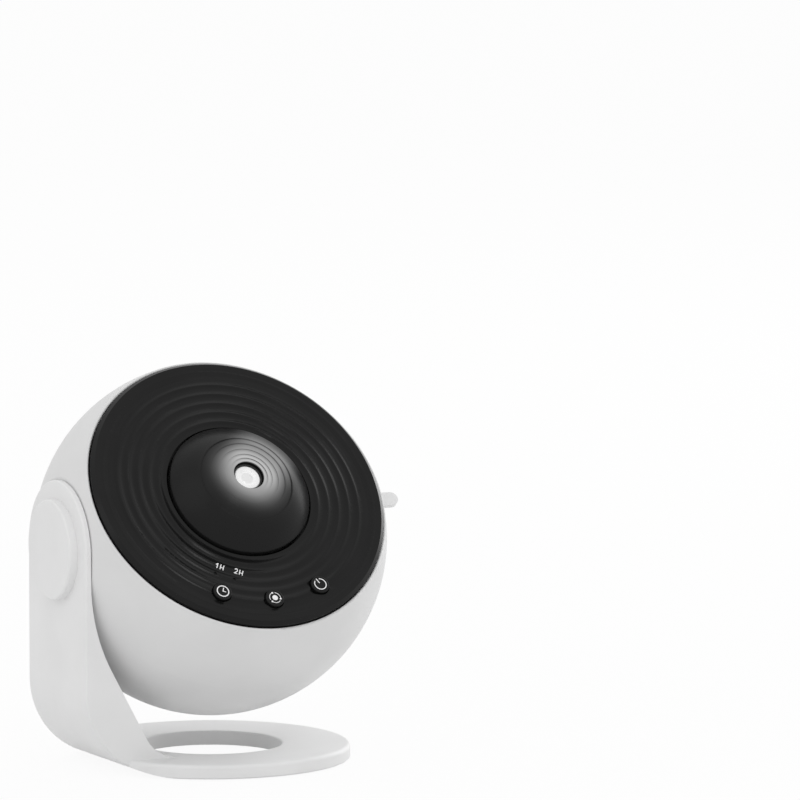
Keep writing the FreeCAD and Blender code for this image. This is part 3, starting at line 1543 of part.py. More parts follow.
def heat_sink():
    """Round plate with a row of straight fins behind the lamp."""
    body = new_body("heat_sink", "ball")
    padded(body, "XY_Plane", [circle("lamp_radius")], "sink_base", "sink_top - sink_base")
    reach = int(number("sink_radius") // number("fin_pitch"))
    fins = []
    for place in range(-reach, reach + 1):
        middle = f"{place} * fin_pitch"
        far = f"(abs({place}) * fin_pitch + fin_thickness / 2)"
        half = f"sqrt(sink_radius^2 - {far}^2)"
        if abs(place) * number("fin_pitch") + number("fin_thickness") < number("sink_radius"):
            fins.append(box(f"{middle} - fin_thickness / 2", f"-{half}",
                            f"{middle} + fin_thickness / 2", half))
    padded(body, "XY_Plane", fins, "sink_length - sink_base + 0.5", "sink_top - sink_base + 0.5",
           reverse=True)
    screw_pilots(body, "XY_Plane", "small", ring_of("tube_screw_circle", TUBE_SCREW_ANGLES),
                 "sink_base - 0.4", "sink_top", up=False)


def lamp_screws():
    """Six screws: three hold the tube to the guide plate, three the lamp and sink to the tube."""
    screws = []
    for place in ring_of("tube_screw_circle", TUBE_SCREW_ANGLES):
        screws.append(screw((*place, "plate_foot - tube_flange_height"), (0, 0, 1), "small",
                            "tube_flange_height + guide_plate - 0.5"))
        screws.append(screw((*place, "tube_foot + tube_flange_height"), (0, 0, -1), "small",
                            "tube_flange_height + lamp_board + sink_base - 0.5"))
    group("lamp_screws", "ball", screws)


# ---------------------------------------------------------------- motor and electronics

def gear_motor():
    """Flat-sided gear motor that turns the film."""
    body = new_body("gear_motor", "ball")
    left, right = "-pinion_place - motor_side", "-pinion_place + motor_side"
    padded(body, "XY_Plane", [box(left, "-motor_half", right, "motor_half")],
           "gearbox_length", "plate_foot", reverse=True)
    side = "sqrt(motor_half^2 - motor_side^2)"
    padded(body, "XY_Plane", [[
        (left, f"-{side}"), ("left", "-pinion_place", "0"), (right, f"-{side}"),
        (right, side), ("left", "-pinion_place", "0"), (left, side),
    ]], "motor_length - gearbox_length", "plate_foot - gearbox_length", reverse=True)
    cut(body, "XY_Plane", [circle("shaft_radius + bearing_gap", "-pinion_place", "0")],
        "shaft_seat + 0.3", "plate_foot", up=False)


def control_board():
    """Circuit board with a narrow tongue that carries the charging socket to the wall."""
    body = new_body("control_board", "ball")
    padded(body, "XZ_Plane", [[
        ("-board_half", "-board_rear"), ("-board_tongue", "-board_rear"),
        ("-board_tongue", "-board_tongue_rear"), ("board_tongue", "-board_tongue_rear"),
        ("board_tongue", "-board_rear"), ("board_half", "-board_rear"),
        ("board_half", "-board_front"), ("-board_half", "-board_front"),
    ]], "board_thickness", "board_offset")
    screw_holes(body, "XZ_Plane", "medium", board_posts(), "board_thickness", "board_offset")


def board_screws():
    """Two for the control board and two for the button board."""
    screws = []
    for across, up in board_posts():
        screws.append(screw((across, "-board_offset", up), (0, -1, 0), "medium",
                            "board_thickness + screw_bite + 0.8"))
    for place in ring_of("button_circle", BOARD_POST_ANGLES):
        screws.append(screw((*place, "switch_foot - button_board_thickness"), (0, 0, 1), "small",
                            "screw_bite + 2"))
    group("board_screws", "ball", screws)


def board_components():
    """Controller, driver, coil and capacitors on the control board."""
    face = "-board_offset"
    chips = [
        block(("-5", face, "10.5 - board_rear"), ("10", "1.2", "10")),
        block(("9", face, "2.5 - board_rear"), ("7", "3.2", "7")),
        block(("-17", face, "-board_front - 16"), ("5", "1.4", "6")),
        rod("3.2", "2.9", ("-12", face, "4.5 - board_rear"), (0, 1, 0)),
        rod("3.2", "2.9", ("6", face, "-board_front - 10"), (0, 1, 0)),
    ]
    group("board_components", "ball", chips)


def usb_socket():
    """Rounded metal shell round the tongue of a reversible charging socket."""
    body = new_body("usb_socket", "ball")
    padded(body, "XY_Plane", [lozenge("usb_width / 2", "usb_height / 2")], "usb_length",
           "-usb_face")
    cut(body, "XY_Plane", [lozenge("usb_width / 2 - 0.3", "usb_height / 2 - 0.3")],
        "usb_length - 1", "-usb_face")
    middle = "-board_offset + usb_height / 2"
    padded(body, "XY_Plane", [box("-3.3", f"{middle} - 0.35", "3.3", f"{middle} + 0.35")],
           "usb_length - 1.5", "-usb_face + 1")


def lozenge(half, radius):
    """Outline with round ends, about the middle of the charging socket."""
    middle = "-board_offset + usb_height / 2"
    return [(f"-({half}) + {radius}", f"{middle} - ({radius})"),
            (f"{half} - ({radius})", f"{middle} - ({radius})"),
            ("left", f"{half} - ({radius})", middle),
            (f"{half} - ({radius})", f"{middle} + {radius}"),
            (f"-({half}) + {radius}", f"{middle} + {radius}"),
            ("left", f"-({half}) + {radius}", middle)]


MAKERS = [
    stand_frame, base_cover, foot_pad, base_screws, pivot_cap, friction_ring, wave_spring,
    rear_shell, front_shell, shell_screws, pivot_hub, hub_screws, pivot_washer, pivot_screw,
    face_panel, panel_screws, dome_retainer, retainer_screws, button_board, tact_switches,
    indicator_pipes, tray_guide_upper, post_screws, tray_guide_lower, guide_screws, lens_guide,
    condenser_tube, condenser_lens_front, condenser_lens_rear, lens_snap_rings, led_board,
    led_emitter, heat_sink, lamp_screws, gear_motor, control_board, board_components,
    board_screws, usb_socket, focus_dome, lens_barrel, focus_pins, front_lens, lens_ring,
    lens_spacer, rear_lens, buttons, film_tray, disc_cover, disc_gear, film_disc, disc_clip,
    drive_pinion, motor_shaft,
]

for make in MAKERS:
    make()
document.recompute()

for item in document.Objects:
    if "Invalid" in item.State or "Error" in item.State:
        raise RuntimeError(f"{item.Name} did not compute")
for node in NODES:
    if node.Shape.isNull() or not node.Shape.isValid():
        raise RuntimeError(f"{node.Label} has no valid shape")

os.makedirs("parts", exist_ok=True)
for node in NODES:
    node.Shape.exportStep(f"parts/{node.Label}.step")
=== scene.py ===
# A ball projector for star films: looks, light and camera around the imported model. Metres.
import math

import bmesh
import bpy
from mathutils import Matrix, Vector
from mathutils.bvhtree import BVHTree


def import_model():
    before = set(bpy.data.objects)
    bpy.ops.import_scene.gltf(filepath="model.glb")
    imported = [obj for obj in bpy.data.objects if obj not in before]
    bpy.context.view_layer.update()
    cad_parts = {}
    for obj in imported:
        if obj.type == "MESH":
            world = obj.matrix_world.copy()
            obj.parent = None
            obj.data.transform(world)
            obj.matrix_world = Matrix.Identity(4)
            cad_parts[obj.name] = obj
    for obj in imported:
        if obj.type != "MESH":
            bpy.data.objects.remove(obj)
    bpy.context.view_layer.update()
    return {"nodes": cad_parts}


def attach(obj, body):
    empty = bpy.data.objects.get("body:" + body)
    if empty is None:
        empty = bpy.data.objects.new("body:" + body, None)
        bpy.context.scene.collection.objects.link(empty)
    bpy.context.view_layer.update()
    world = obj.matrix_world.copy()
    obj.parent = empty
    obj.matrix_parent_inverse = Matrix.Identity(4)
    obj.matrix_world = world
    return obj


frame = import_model()

MM = 0.001
PER_MM = 1 / MM

# The ball's own frame: its middle, and the directions right, up along the face, and out of the lens.
BALL_MIDDLE = Vector((0.0, 0.0, 87.9 * MM))
LENS_TILT = math.radians(39.8)
FACE_RIGHT = Vector((1.0, 0.0, 0.0))
FACE_UP = Vector((0.0, math.sin(LENS_TILT), math.cos(LENS_TILT)))
LENS_AXIS = Vector((0.0, -math.cos(LENS_TILT), math.sin(LENS_TILT)))
BALL_FRAME = Matrix.Translation(BALL_MIDDLE) @ Matrix(
    (FACE_RIGHT, FACE_UP, LENS_AXIS)).transposed().to_4x4()

BUTTON_CIRCLE = 50.0
BUTTON_TOP = 35.6
FILM_RADIUS = 16.2
FILM_TOP = 18.46
BUTTON_ANGLES = {"timer": -115.0, "rotation": -90.0, "power": -65.0}
PRINT_THICKNESS = 0.05
CHARACTER_HALF = 1.15
BEND_STEP = 0.4
HOUR_MARK_CIRCLE = 38.0
ABOVE_PANEL = 60.0

# The stars on the film: how many on a square metre, and their smallest and largest radius.
STARS_PER_SQUARE_METRE = 450000.0
FAINTEST_STAR = 0.09
BRIGHTEST_STAR = 0.34
STAR_SEED = 7

# Painted light on the dome, as glow in its material, in millimetres and radiance: a round painted
# pool of light round the lens, and a painted beam from the middle towards the upper right of the
# face, with a share of its light left at the dome's edge.
POOL_START = 6.0
POOL_FADE = 5.2
POOL_STRENGTH = 0.33
POOL_LEAD = 0.6
POOL_WIDTH = 1.15
BEAM_STRENGTH = 0.21
BEAM_SIDES = (6.0, 17.0)
BEAM_BEGINS = (-4.0, 7.0)
BEAM_FADES = (11.0, 29.0)
BEAM_AT_EDGE = 0.45

# The terraces in the beam. A face takes painted shade as the cosine between its normal and the lens
# axis falls through a range, and a soft painted shadow, of a radius and a depth, lies inside each
# riser. The axis is the one at rest, so the painted shade moves as the ball tilts, and dims the
# whole beam when the ball faces the back.
RISER_LEVEL = (0.3, 0.55)
RISER_SHADE = 0.7
SHADOW_WIDTH = 0.45
SHADOW_RINGS = ((7.6, 0.35), (9.5, 0.25), (12.1, 0.2), (15.9, 0.2), (18.8, 0.1))

# The panel's ripples, in millimetres. As moulded they are six round valleys. The bump fills those
# in and shows five narrow crests, with wide and deeper valleys between them.
RIPPLE_START = 31.87
RIPPLE_PITCH = 4.273
RIPPLE_DEPTH = 0.5
RIPPLE_COUNT = 6
CREST_START = 33.2
CREST_COUNT = 5
CREST_ROUNDING = 0.1
VALLEY_DEPTH = 0.72
GRAIN_SIZE = 0.5
GRAIN_DEPTH = 0.003

# The camera, fitted to the ball, the front and the ring: degrees, millimetres and pixels.
AZIMUTH, ELEVATION = -26.287, 7.616
DISTANCE = 4278.795
FOCAL_PIXELS = 10810.572
FRAME_MIDDLE = 400.0
BALL_PIXEL = (210.205, 538.372)
SENSOR_WIDTH = 36.0

# The pale studio: its floor's half width in metres, how far the floor looks plain white, and the
# strength of the soft light from all round.
FLOOR_REACH = 20.0
FLOOR_WHITENESS = 0.93
ROOM_LIGHT = 0.79


# ---------------------------------------------------------------- materials

def linear(code):
    """An sRGB hex colour as linear red, green, blue, alpha."""
    parts = [int(code[i:i + 2], 16) / 255 for i in (1, 3, 5)]
    return tuple(p / 12.92 if p <= 0.04045 else ((p + 0.055) / 1.055) ** 2.4
                 for p in parts) + (1.0,)


def add(tree, kind, inputs=None, **settings):
    """Add a node, set its properties, and set or link its inputs."""
    made = tree.nodes.new(kind)
    for name, value in settings.items():
        setattr(made, name, value)
    for name, value in (inputs or {}).items():
        socket = made.inputs[name]
        if isinstance(value, bpy.types.NodeSocket):
            tree.links.new(value, socket)
        else:
            socket.default_value = value
    return made


def finish_of(name, base, roughness, **shader):
    """A material with one principled shader. Returns it, its tree and the shader."""
    made = bpy.data.materials.new(name)
    made.use_nodes = True
    tree = made.node_tree
    tree.nodes.clear()
    inputs = {"Base Color": linear(base), "Roughness": roughness}
    inputs.update({key.replace("_", " "): value for key, value in shader.items()})
    surface = add(tree, "ShaderNodeBsdfPrincipled", inputs)
    add(tree, "ShaderNodeOutputMaterial", {"Surface": surface.outputs["BSDF"]})
    return made, tree, surface


def millimetres(tree):
    """Object coordinates counted in millimetres."""
    place = add(tree, "ShaderNodeTexCoord")
    scaled = add(tree, "ShaderNodeMapping", {"Vector": place.outputs["Object"],
                                             "Scale": (PER_MM, PER_MM, PER_MM)})
    return scaled.outputs["Vector"]


def mottled(tree, surface, place, size, low, high, detail=3.0):
    """Let the base colour wander between two shades over patches of a size in millimetres."""
    noise = add(tree, "ShaderNodeTexNoise", {"Vector": place, "Scale": 1 / size,
                                             "Detail": detail, "Roughness": 0.5})
    ramp = add(tree, "ShaderNodeMapRange", {"Value": noise.outputs["Fac"],
                                            "From Min": 0.35, "From Max": 0.65})
    # sockets 6 and 7 and output 2 are this node's colours, which share their names with others
    shade = add(tree, "ShaderNodeMix", {0: ramp.outputs["Result"], 6: linear(low),
                                        7: linear(high)}, data_type="RGBA")
    tree.links.new(shade.outputs[2], surface.inputs["Base Color"])


def grained(tree, surface, place, size, depth, stretch=(1, 1, 1), polish=None, rounding=0.0):
    """Give the surface grains of a size and depth, and its edges a rounding, in millimetres."""
    spread = add(tree, "ShaderNodeMapping", {"Vector": place, "Scale": stretch})
    noise = add(tree, "ShaderNodeTexNoise", {"Vector": spread.outputs["Vector"],
                                             "Scale": 1 / size, "Detail": 2.0})
    bump = add(tree, "ShaderNodeBump", {"Height": noise.outputs["Fac"], "Strength": 1.0,
                                        "Distance": depth * MM})
    tree.links.new(bump.outputs["Normal"], surface.inputs["Normal"])
    if rounding:
        edge = add(tree, "ShaderNodeBevel", {"Radius": rounding * MM}, samples=6)
        tree.links.new(edge.outputs["Normal"], bump.inputs["Normal"])
    if polish:
        rough = add(tree, "ShaderNodeMapRange", {"Value": noise.outputs["Fac"],
                                                 "From Min": 0.3, "From Max": 0.7,
                                                 "To Min": polish[0], "To Max": polish[1]})
        tree.links.new(rough.outputs["Result"], surface.inputs["Roughness"])


def white_moulded_abs():
    # Injection-moulded ABS from a finely spark-eroded tool: a soft sheen with no clear reflection.
    # The real grain is 0.1 mm, drawn at 0.6 mm so that it shows.
    made, tree, surface = finish_of("white_moulded_abs", "#ECECEC", 0.42, IOR=1.54)
    place = millimetres(tree)
    mottled(tree, surface, place, 30.0, "#EAEAEA", "#EEEEEE")
    grained(tree, surface, place, 0.6, 0.006, polish=(0.39, 0.46))
    return made


def off_white_moulded_abs():
    # The ball's shells: the same plastic, a shade greyer than the stand.
    made, tree, surface = finish_of("off_white_moulded_abs", "#E0E0E0", 0.42, IOR=1.54)
    place = millimetres(tree)
    mottled(tree, surface, place, 30.0, "#DEDEDE", "#E2E2E2")
    grained(tree, surface, place, 0.6, 0.006, polish=(0.39, 0.46))
    return made


def black_moulded_abs():
    # The buttons: the same plastic in black, with a finer and drier texture.
    made, tree, surface = finish_of("black_moulded_abs", "#131313", 0.3, IOR=1.54,
                                    Specular_IOR_Level=0.15)
    place = millimetres(tree)
    mottled(tree, surface, place, 18.0, "#121212", "#151515")
    grained(tree, surface, place, 0.5, 0.003, polish=(0.27, 0.33))
    return made


def from_lens_axis(tree, place):
    """How far a point is ahead, towards the upper right of the face, aside, and in all."""
    apart = add(tree, "ShaderNodeVectorMath", {0: place, 1: BALL_MIDDLE * PER_MM},
                operation="SUBTRACT").outputs["Vector"]
    ahead = add(tree, "ShaderNodeVectorMath", {0: apart, 1: (FACE_RIGHT + FACE_UP).normalized()},
                operation="DOT_PRODUCT").outputs["Value"]
    aside = add(tree, "ShaderNodeVectorMath", {0: apart, 1: (FACE_UP - FACE_RIGHT).normalized()},
                operation="DOT_PRODUCT").outputs["Value"]
    across = add(tree, "ShaderNodeCombineXYZ", {"X": ahead, "Y": aside})
    radius = add(tree, "ShaderNodeVectorMath", {0: across.outputs["Vector"]}, operation="LENGTH")
    return ahead, aside, radius.outputs["Value"]


def chained(tree, kind, *steps):
    """Add nodes of a kind in turn, and return what comes out of the last. Each step is an
    operation and its inputs, with None for what came out of the step before."""
    result = None
    for operation, *inputs in steps:
        given = {i: result if value is None else value for i, value in enumerate(inputs)}
        result = add(tree, kind, given, operation=operation).outputs[0]
    return result


def rippled_black_abs():
    # Black ABS, polished enough to catch a line of light on each crest. The bump fills in the
    # moulded valleys and shows narrow crests with wide round valleys, under a fine grain.
    made, tree, surface = finish_of("rippled_black_abs", "#131313", 0.19, IOR=1.54,
                                    Specular_IOR_Level=0.15)
    place = millimetres(tree)
    mottled(tree, surface, place, 18.0, "#121212", "#151515")
    radius = from_lens_axis(tree, place)[2]
    phase = math.pi / RIPPLE_PITCH
    inside = chained(tree, "ShaderNodeMath",
                     ("MAXIMUM", radius, CREST_START - RIPPLE_PITCH / 2),
                     ("MINIMUM", None, CREST_START + (CREST_COUNT - 0.5) * RIPPLE_PITCH),
                     ("MULTIPLY_ADD", None, phase, -CREST_START * phase), ("SINE", None))
    crests = chained(tree, "ShaderNodeMath", ("MULTIPLY", inside, inside),
                     ("ADD", None, CREST_ROUNDING), ("SQRT", None),
                     ("MULTIPLY", None, -VALLEY_DEPTH))
    fall = chained(tree, "ShaderNodeMath", ("MAXIMUM", radius, RIPPLE_START),
                   ("MINIMUM", None, RIPPLE_START + RIPPLE_COUNT * RIPPLE_PITCH),
                   ("SUBTRACT", None, RIPPLE_START), ("PINGPONG", None, RIPPLE_PITCH / 2),
                   ("MULTIPLY", None, 4 / RIPPLE_PITCH))
    past_half = chained(tree, "ShaderNodeMath", ("SUBTRACT", fall, 1.0), ("MAXIMUM", None, 0.0))
    half_fall = chained(tree, "ShaderNodeMath", ("MULTIPLY", fall, 0.5))
    moulded = chained(tree, "ShaderNodeMath", ("MULTIPLY", past_half, past_half),
                      ("MULTIPLY", None, -1.0), ("MULTIPLY_ADD", fall, half_fall, None),
                      ("MULTIPLY", None, RIPPLE_DEPTH))
    grain = add(tree, "ShaderNodeTexNoise", {"Vector": place, "Scale": 1 / GRAIN_SIZE,
                                             "Detail": 2.0})
    height = chained(tree, "ShaderNodeMath", ("MULTIPLY", grain.outputs["Fac"], GRAIN_DEPTH),
                     ("ADD", None, crests), ("ADD", None, moulded))
    bump = add(tree, "ShaderNodeBump", {"Height": height, "Strength": 1.0, "Distance": MM})
    tree.links.new(bump.outputs["Normal"], surface.inputs["Normal"])
    return made


def black_polycarbonate_dome():
    # Smooth black polycarbonate. The light that spills from the lens over the terraces is painted
    # here as glow, and turns with the dome: a painted pool of light that fades within 14 mm of the
    # opening, and a wide painted beam out to the dome's edge, towards the upper right of the face.
    # In it the steep risers take painted shade, with a soft painted shadow inside each.
    made, tree, surface = finish_of("black_polycarbonate_dome", "#1A1A1A", 0.3, IOR=1.585,
                                    Specular_IOR_Level=0.1)
    place = millimetres(tree)
    grained(tree, surface, place, 0.5, 0.003, polish=(0.27, 0.33), rounding=1.0)
    ahead, aside, radius = from_lens_axis(tree, place)
    wide = add(tree, "ShaderNodeCombineXYZ", {
        "X": chained(tree, "ShaderNodeMath", ("SUBTRACT", ahead, POOL_LEAD)),
        "Y": chained(tree, "ShaderNodeMath", ("DIVIDE", aside, POOL_WIDTH))})
    reach = add(tree, "ShaderNodeVectorMath", {0: wide.outputs["Vector"]}, operation="LENGTH")
    pool = chained(tree, "ShaderNodeMath", ("SUBTRACT", reach.outputs["Value"], POOL_START),
                   ("DIVIDE", None, POOL_FADE), ("POWER", None, 2.0),
                   ("MULTIPLY", None, -1.0), ("EXPONENT", None),
                   ("MULTIPLY", None, POOL_STRENGTH))
    narrow = add(tree, "ShaderNodeMapRange",
                 {"Value": chained(tree, "ShaderNodeMath", ("ABSOLUTE", aside)),
                  "From Min": BEAM_SIDES[0], "From Max": BEAM_SIDES[1],
                  "To Min": BEAM_STRENGTH, "To Max": 0.0},
                 interpolation_type="SMOOTHSTEP").outputs["Result"]
    onward = add(tree, "ShaderNodeMapRange",
                 {"Value": ahead, "From Min": BEAM_BEGINS[0], "From Max": BEAM_BEGINS[1]},
                 interpolation_type="SMOOTHSTEP").outputs["Result"]
    dimmed = add(tree, "ShaderNodeMapRange",
                 {"Value": radius, "From Min": BEAM_FADES[0], "From Max": BEAM_FADES[1],
                  "To Min": 1.0, "To Max": BEAM_AT_EDGE},
                 interpolation_type="SMOOTHSTEP").outputs["Result"]
    light = chained(tree, "ShaderNodeMath", ("MULTIPLY", narrow, onward),
                    ("MULTIPLY", None, dimmed), ("ADD", None, pool))
    # painted shade on the steep risers and painted shadow rings inside them dim the painted glow
    facing = add(tree, "ShaderNodeNewGeometry")
    level = add(tree, "ShaderNodeVectorMath", {0: facing.outputs["Normal"], 1: LENS_AXIS},
                operation="DOT_PRODUCT")
    riser = add(tree, "ShaderNodeMapRange",
                {"Value": level.outputs["Value"], "From Min": RISER_LEVEL[0],
                 "From Max": RISER_LEVEL[1], "To Min": RISER_SHADE, "To Max": 0.0})
    shade = riser.outputs["Result"]
    for ring, depth in SHADOW_RINGS:
        shade = chained(tree, "ShaderNodeMath", ("SUBTRACT", radius, ring),
                        ("DIVIDE", None, SHADOW_WIDTH), ("POWER", None, 2.0),
                        ("MULTIPLY", None, -1.0), ("EXPONENT", None),
                        ("MULTIPLY_ADD", None, depth, shade))
    kept = chained(tree, "ShaderNodeMath", ("MULTIPLY", shade, onward),
                   ("SUBTRACT", 1.0, None), ("MAXIMUM", None, 0.0))
    painted_glow = chained(tree, "ShaderNodeMath", ("MULTIPLY", light, kept))
    surface.inputs["Emission Color"].default_value = linear("#FFFFFF")
    tree.links.new(painted_glow, surface.inputs["Emission Strength"])
    return made


def black_inner_abs():
    # Unpolished black ABS for parts inside the shell: matt, with a coarser grain.
    made, tree, surface = finish_of("black_inner_abs", "#191919", 0.6, IOR=1.54)
    place = millimetres(tree)
    mottled(tree, surface, place, 9.0, "#171717", "#1C1C1C")
    grained(tree, surface, place, 0.5, 0.01, polish=(0.55, 0.66))
    return made


def white_gloss_ring():
    # Polished white ABS round the lens, with a painted glow for the light that passes through it.
    made, tree, surface = finish_of("white_gloss_ring", "#F4F4F4", 0.18, IOR=1.54)
    surface.inputs["Emission Color"].default_value = linear("#FFFFFF")
    surface.inputs["Emission Strength"].default_value = 0.13
    place = millimetres(tree)
    mottled(tree, surface, place, 4.0, "#F2F2F2", "#F6F6F6")
    return made


def lit_acrylic():
    # The front lens with the lamp behind it: acrylic with a painted glow for the light through it, a
    # little duller in the middle, where the film's dark sky is seen.
    made, tree, surface = finish_of("lit_acrylic", "#C8C8C8", 0.06, IOR=1.49)
    radius = from_lens_axis(tree, millimetres(tree))[2]
    bright = add(tree, "ShaderNodeMapRange", {"Value": radius, "From Min": 2.0,
                                              "From Max": 2.9, "To Min": 0.28, "To Max": 0.38},
                 interpolation_type="SMOOTHSTEP")
    surface.inputs["Emission Color"].default_value = linear("#FFFFFF")
    tree.links.new(bright.outputs["Result"], surface.inputs["Emission Strength"])
    return made


def clear_acrylic():
    # Cast acrylic for the lenses inside: clear and polished.
    made, tree, surface = finish_of("clear_acrylic", "#F7F9FA", 0.03, IOR=1.49,
                                    Transmission_Weight=1.0)
    grained(tree, surface, millimetres(tree), 6.0, 0.004)
    return made


def smoked_acrylic():
    # The two light pipes while their lamps are off: dark and glossy.
    made, tree, surface = finish_of("smoked_acrylic", "#060606", 0.28, IOR=1.49,
                                    Specular_IOR_Level=0.2)
    grained(tree, surface, millimetres(tree), 1.0, 0.002)
    return made


def soft_rubber():
    # Thermoplastic rubber: dry, dark and slightly uneven.
    made, tree, surface = finish_of("soft_rubber", "#2A2A2A", 0.85, IOR=1.5)
    place = millimetres(tree)
    mottled(tree, surface, place, 3.0, "#262626", "#303030")
    grained(tree, surface, place, 0.7, 0.03)
    return made


def zinc_plated_steel():
    # Screws, pins and washers: bright plating with a faint blue cast and worn high spots.
    made, tree, surface = finish_of("zinc_plated_steel", "#BFC3C6", 0.32, Metallic=1.0)
    place = millimetres(tree)
    mottled(tree, surface, place, 1.2, "#B2B7BC", "#CACDCF")
    grained(tree, surface, place, 0.4, 0.006, polish=(0.26, 0.4))
    return made


def spring_steel():
    # Tempered strip: darker than plating, drawn along its length.
    made, tree, surface = finish_of("spring_steel", "#9C9A96", 0.25, Metallic=1.0)
    place = millimetres(tree)
    mottled(tree, surface, place, 2.0, "#908E8A", "#A6A4A0")
    grained(tree, surface, place, 0.4, 0.004, stretch=(1, 1, 0.1), polish=(0.2, 0.34))
    return made


def extruded_aluminium():
    # Bare extrusion: fine lines along the fins and a soft shine.
    made, tree, surface = finish_of("extruded_aluminium", "#C9CACC", 0.38, Metallic=1.0)
    place = millimetres(tree)
    mottled(tree, surface, place, 5.0, "#C2C3C6", "#CFD0D1")
    grained(tree, surface, place, 0.4, 0.01, stretch=(1, 0.05, 1), polish=(0.32, 0.46))
    return made


def green_circuit_board():
    # Glass-epoxy laminate under green solder mask: copper runs show as lighter paths.
    made, tree, surface = finish_of("green_circuit_board", "#0F5A33", 0.3, IOR=1.55,
                                    Coat_Weight=0.3, Coat_Roughness=0.15)
    place = millimetres(tree)
    runs = add(tree, "ShaderNodeTexBrick",
               {"Vector": place, "Color1": linear("#0E5230"), "Color2": linear("#13633A"),
                "Mortar": linear("#2C8A57"), "Scale": 0.5, "Mortar Size": 0.02,
                "Brick Width": 1.3, "Row Height": 0.45}, offset=0.5)
    tree.links.new(runs.outputs["Color"], surface.inputs["Base Color"])
    grained(tree, surface, place, 0.5, 0.004)
    return made


def moulded_epoxy():
    # Black filled epoxy of chips and switches: matt with a slight sparkle of filler.
    made, tree, surface = finish_of("moulded_epoxy", "#1B1C1E", 0.55, IOR=1.55)
    place = millimetres(tree)
    mottled(tree, surface, place, 0.6, "#161718", "#242628")
    grained(tree, surface, place, 0.3, 0.01)
    return made


def polyester_film():
    # A photographic slide on clear polyester: nearly black sky with a cloudy band of stars.
    made, tree, surface = finish_of("polyester_film", "#07080D", 0.12, IOR=1.65,
                                    Coat_Weight=0.5, Coat_Roughness=0.05)
    place = millimetres(tree)
    mottled(tree, surface, place, 9.0, "#05060B", "#161A2C", detail=6.0)
    return made


def natural_acetal():
    # Acetal as moulded for gears: milky, slightly waxy.
    made, tree, surface = finish_of("natural_acetal", "#E4E2D8", 0.35, IOR=1.48,
                                    Subsurface_Weight=0.15, Subsurface_Scale=0.5 * MM)
    place = millimetres(tree)
    mottled(tree, surface, place, 4.0, "#E0DED3", "#E8E6DD")
    grained(tree, surface, place, 0.6, 0.005)
    return made


def phosphor_lamp():
    # Clear silicone over yellow phosphor: warm and bright while the lamp is on.
    made, tree, surface = finish_of("phosphor_lamp", "#F2E29A", 0.15, IOR=1.41)
    place = millimetres(tree)
    mottled(tree, surface, place, 0.8, "#EFDB8B", "#F6EAB0")
    surface.inputs["Emission Color"].default_value = linear("#FFF6E0")
    surface.inputs["Emission Strength"].default_value = 2.0
    return made


def pressed_fibre():
    # The friction washer: brown pressed fibre, dry and flecked.
    made, tree, surface = finish_of("pressed_fibre", "#4A3D31", 0.9)
    place = millimetres(tree)
    mottled(tree, surface, place, 0.8, "#3E3329", "#5A4B3D")
    grained(tree, surface, place, 0.4, 0.05)
    return made


def clear_star():
    # A star is a clear spot in the slide: it shows as pale as the light behind it.
    made, tree, surface = finish_of("clear_star", "#D9DDE6", 0.3, IOR=1.65)
    mottled(tree, surface, millimetres(tree), 2.0, "#C9D0DF", "#F2EFE6")
    return made


def white_ink():
    # Pad-printed ink: even, dry and opaque, with softly uneven cover.
    made, tree, surface = finish_of("white_ink", "#F8F8F8", 0.55, IOR=1.5)
    place = millimetres(tree)
    mottled(tree, surface, place, 0.5, "#F4F4F4", "#FCFCFC")
    return made


MATERIALS = {make.__name__: make() for make in (
    white_moulded_abs, off_white_moulded_abs, black_moulded_abs, rippled_black_abs,
    black_polycarbonate_dome, black_inner_abs, white_gloss_ring, lit_acrylic, clear_acrylic,
    smoked_acrylic, soft_rubber, zinc_plated_steel, spring_steel, extruded_aluminium,
    green_circuit_board, moulded_epoxy, polyester_film, natural_acetal, phosphor_lamp,
    pressed_fibre, clear_star, white_ink)}

FINISHES = {
    "white_moulded_abs": ("stand_frame", "base_cover", "pivot_cap", "film_tray"),
    "off_white_moulded_abs": ("rear_shell", "front_shell"),
    "black_moulded_abs": ("timer_button", "rotation_button", "power_button"),
    "rippled_black_abs": ("face_panel",),
    "black_polycarbonate_dome": ("focus_dome",),
    "black_inner_abs": ("pivot_hub", "dome_retainer", "tray_guide_upper", "tray_guide_lower",
                        "lens_guide", "condenser_tube", "lens_barrel", "lens_spacer",
                        "timer_plunger", "rotation_plunger", "power_plunger", "disc_cover"),
    "white_gloss_ring": ("lens_ring",),
    "lit_acrylic": ("front_lens",),
    "clear_acrylic": ("rear_lens", "condenser_lens_front", "condenser_lens_rear"),
    "smoked_acrylic": ("indicator_pipes",),
    "soft_rubber": ("foot_pad",),
    "zinc_plated_steel": ("base_screws", "shell_screws", "hub_screws", "pivot_screw",
                          "panel_screws", "retainer_screws", "post_screws", "guide_screws",
                          "lamp_screws", "board_screws", "pivot_washer", "focus_pins",
                          "motor_shaft", "gear_motor"),
    "spring_steel": ("wave_spring", "lens_snap_rings", "disc_clip", "usb_socket"),
    "extruded_aluminium": ("led_board", "heat_sink"),
    "green_circuit_board": ("button_board", "control_board"),
    "moulded_epoxy": ("tact_switches", "board_components"),
    "polyester_film": ("film_disc",),
    "natural_acetal": ("disc_gear", "drive_pinion"),
    "phosphor_lamp": ("led_emitter",),
    "pressed_fibre": ("friction_ring",),
}
for finish, names in FINISHES.items():
    for name in names:
        for place in frame["nodes"][name].material_slots:
            place.material = MATERIALS[finish]


# ---------------------------------------------------------------- printed marks

def new_piece(name, mesh, finish, body):
    """Show a mesh as a piece that rides on a body."""
    mesh.materials.clear()
    mesh.materials.append(MATERIALS[finish])
    piece = bpy.data.objects.new(name, mesh)
    bpy.context.scene.collection.objects.link(piece)
    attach(piece, body)


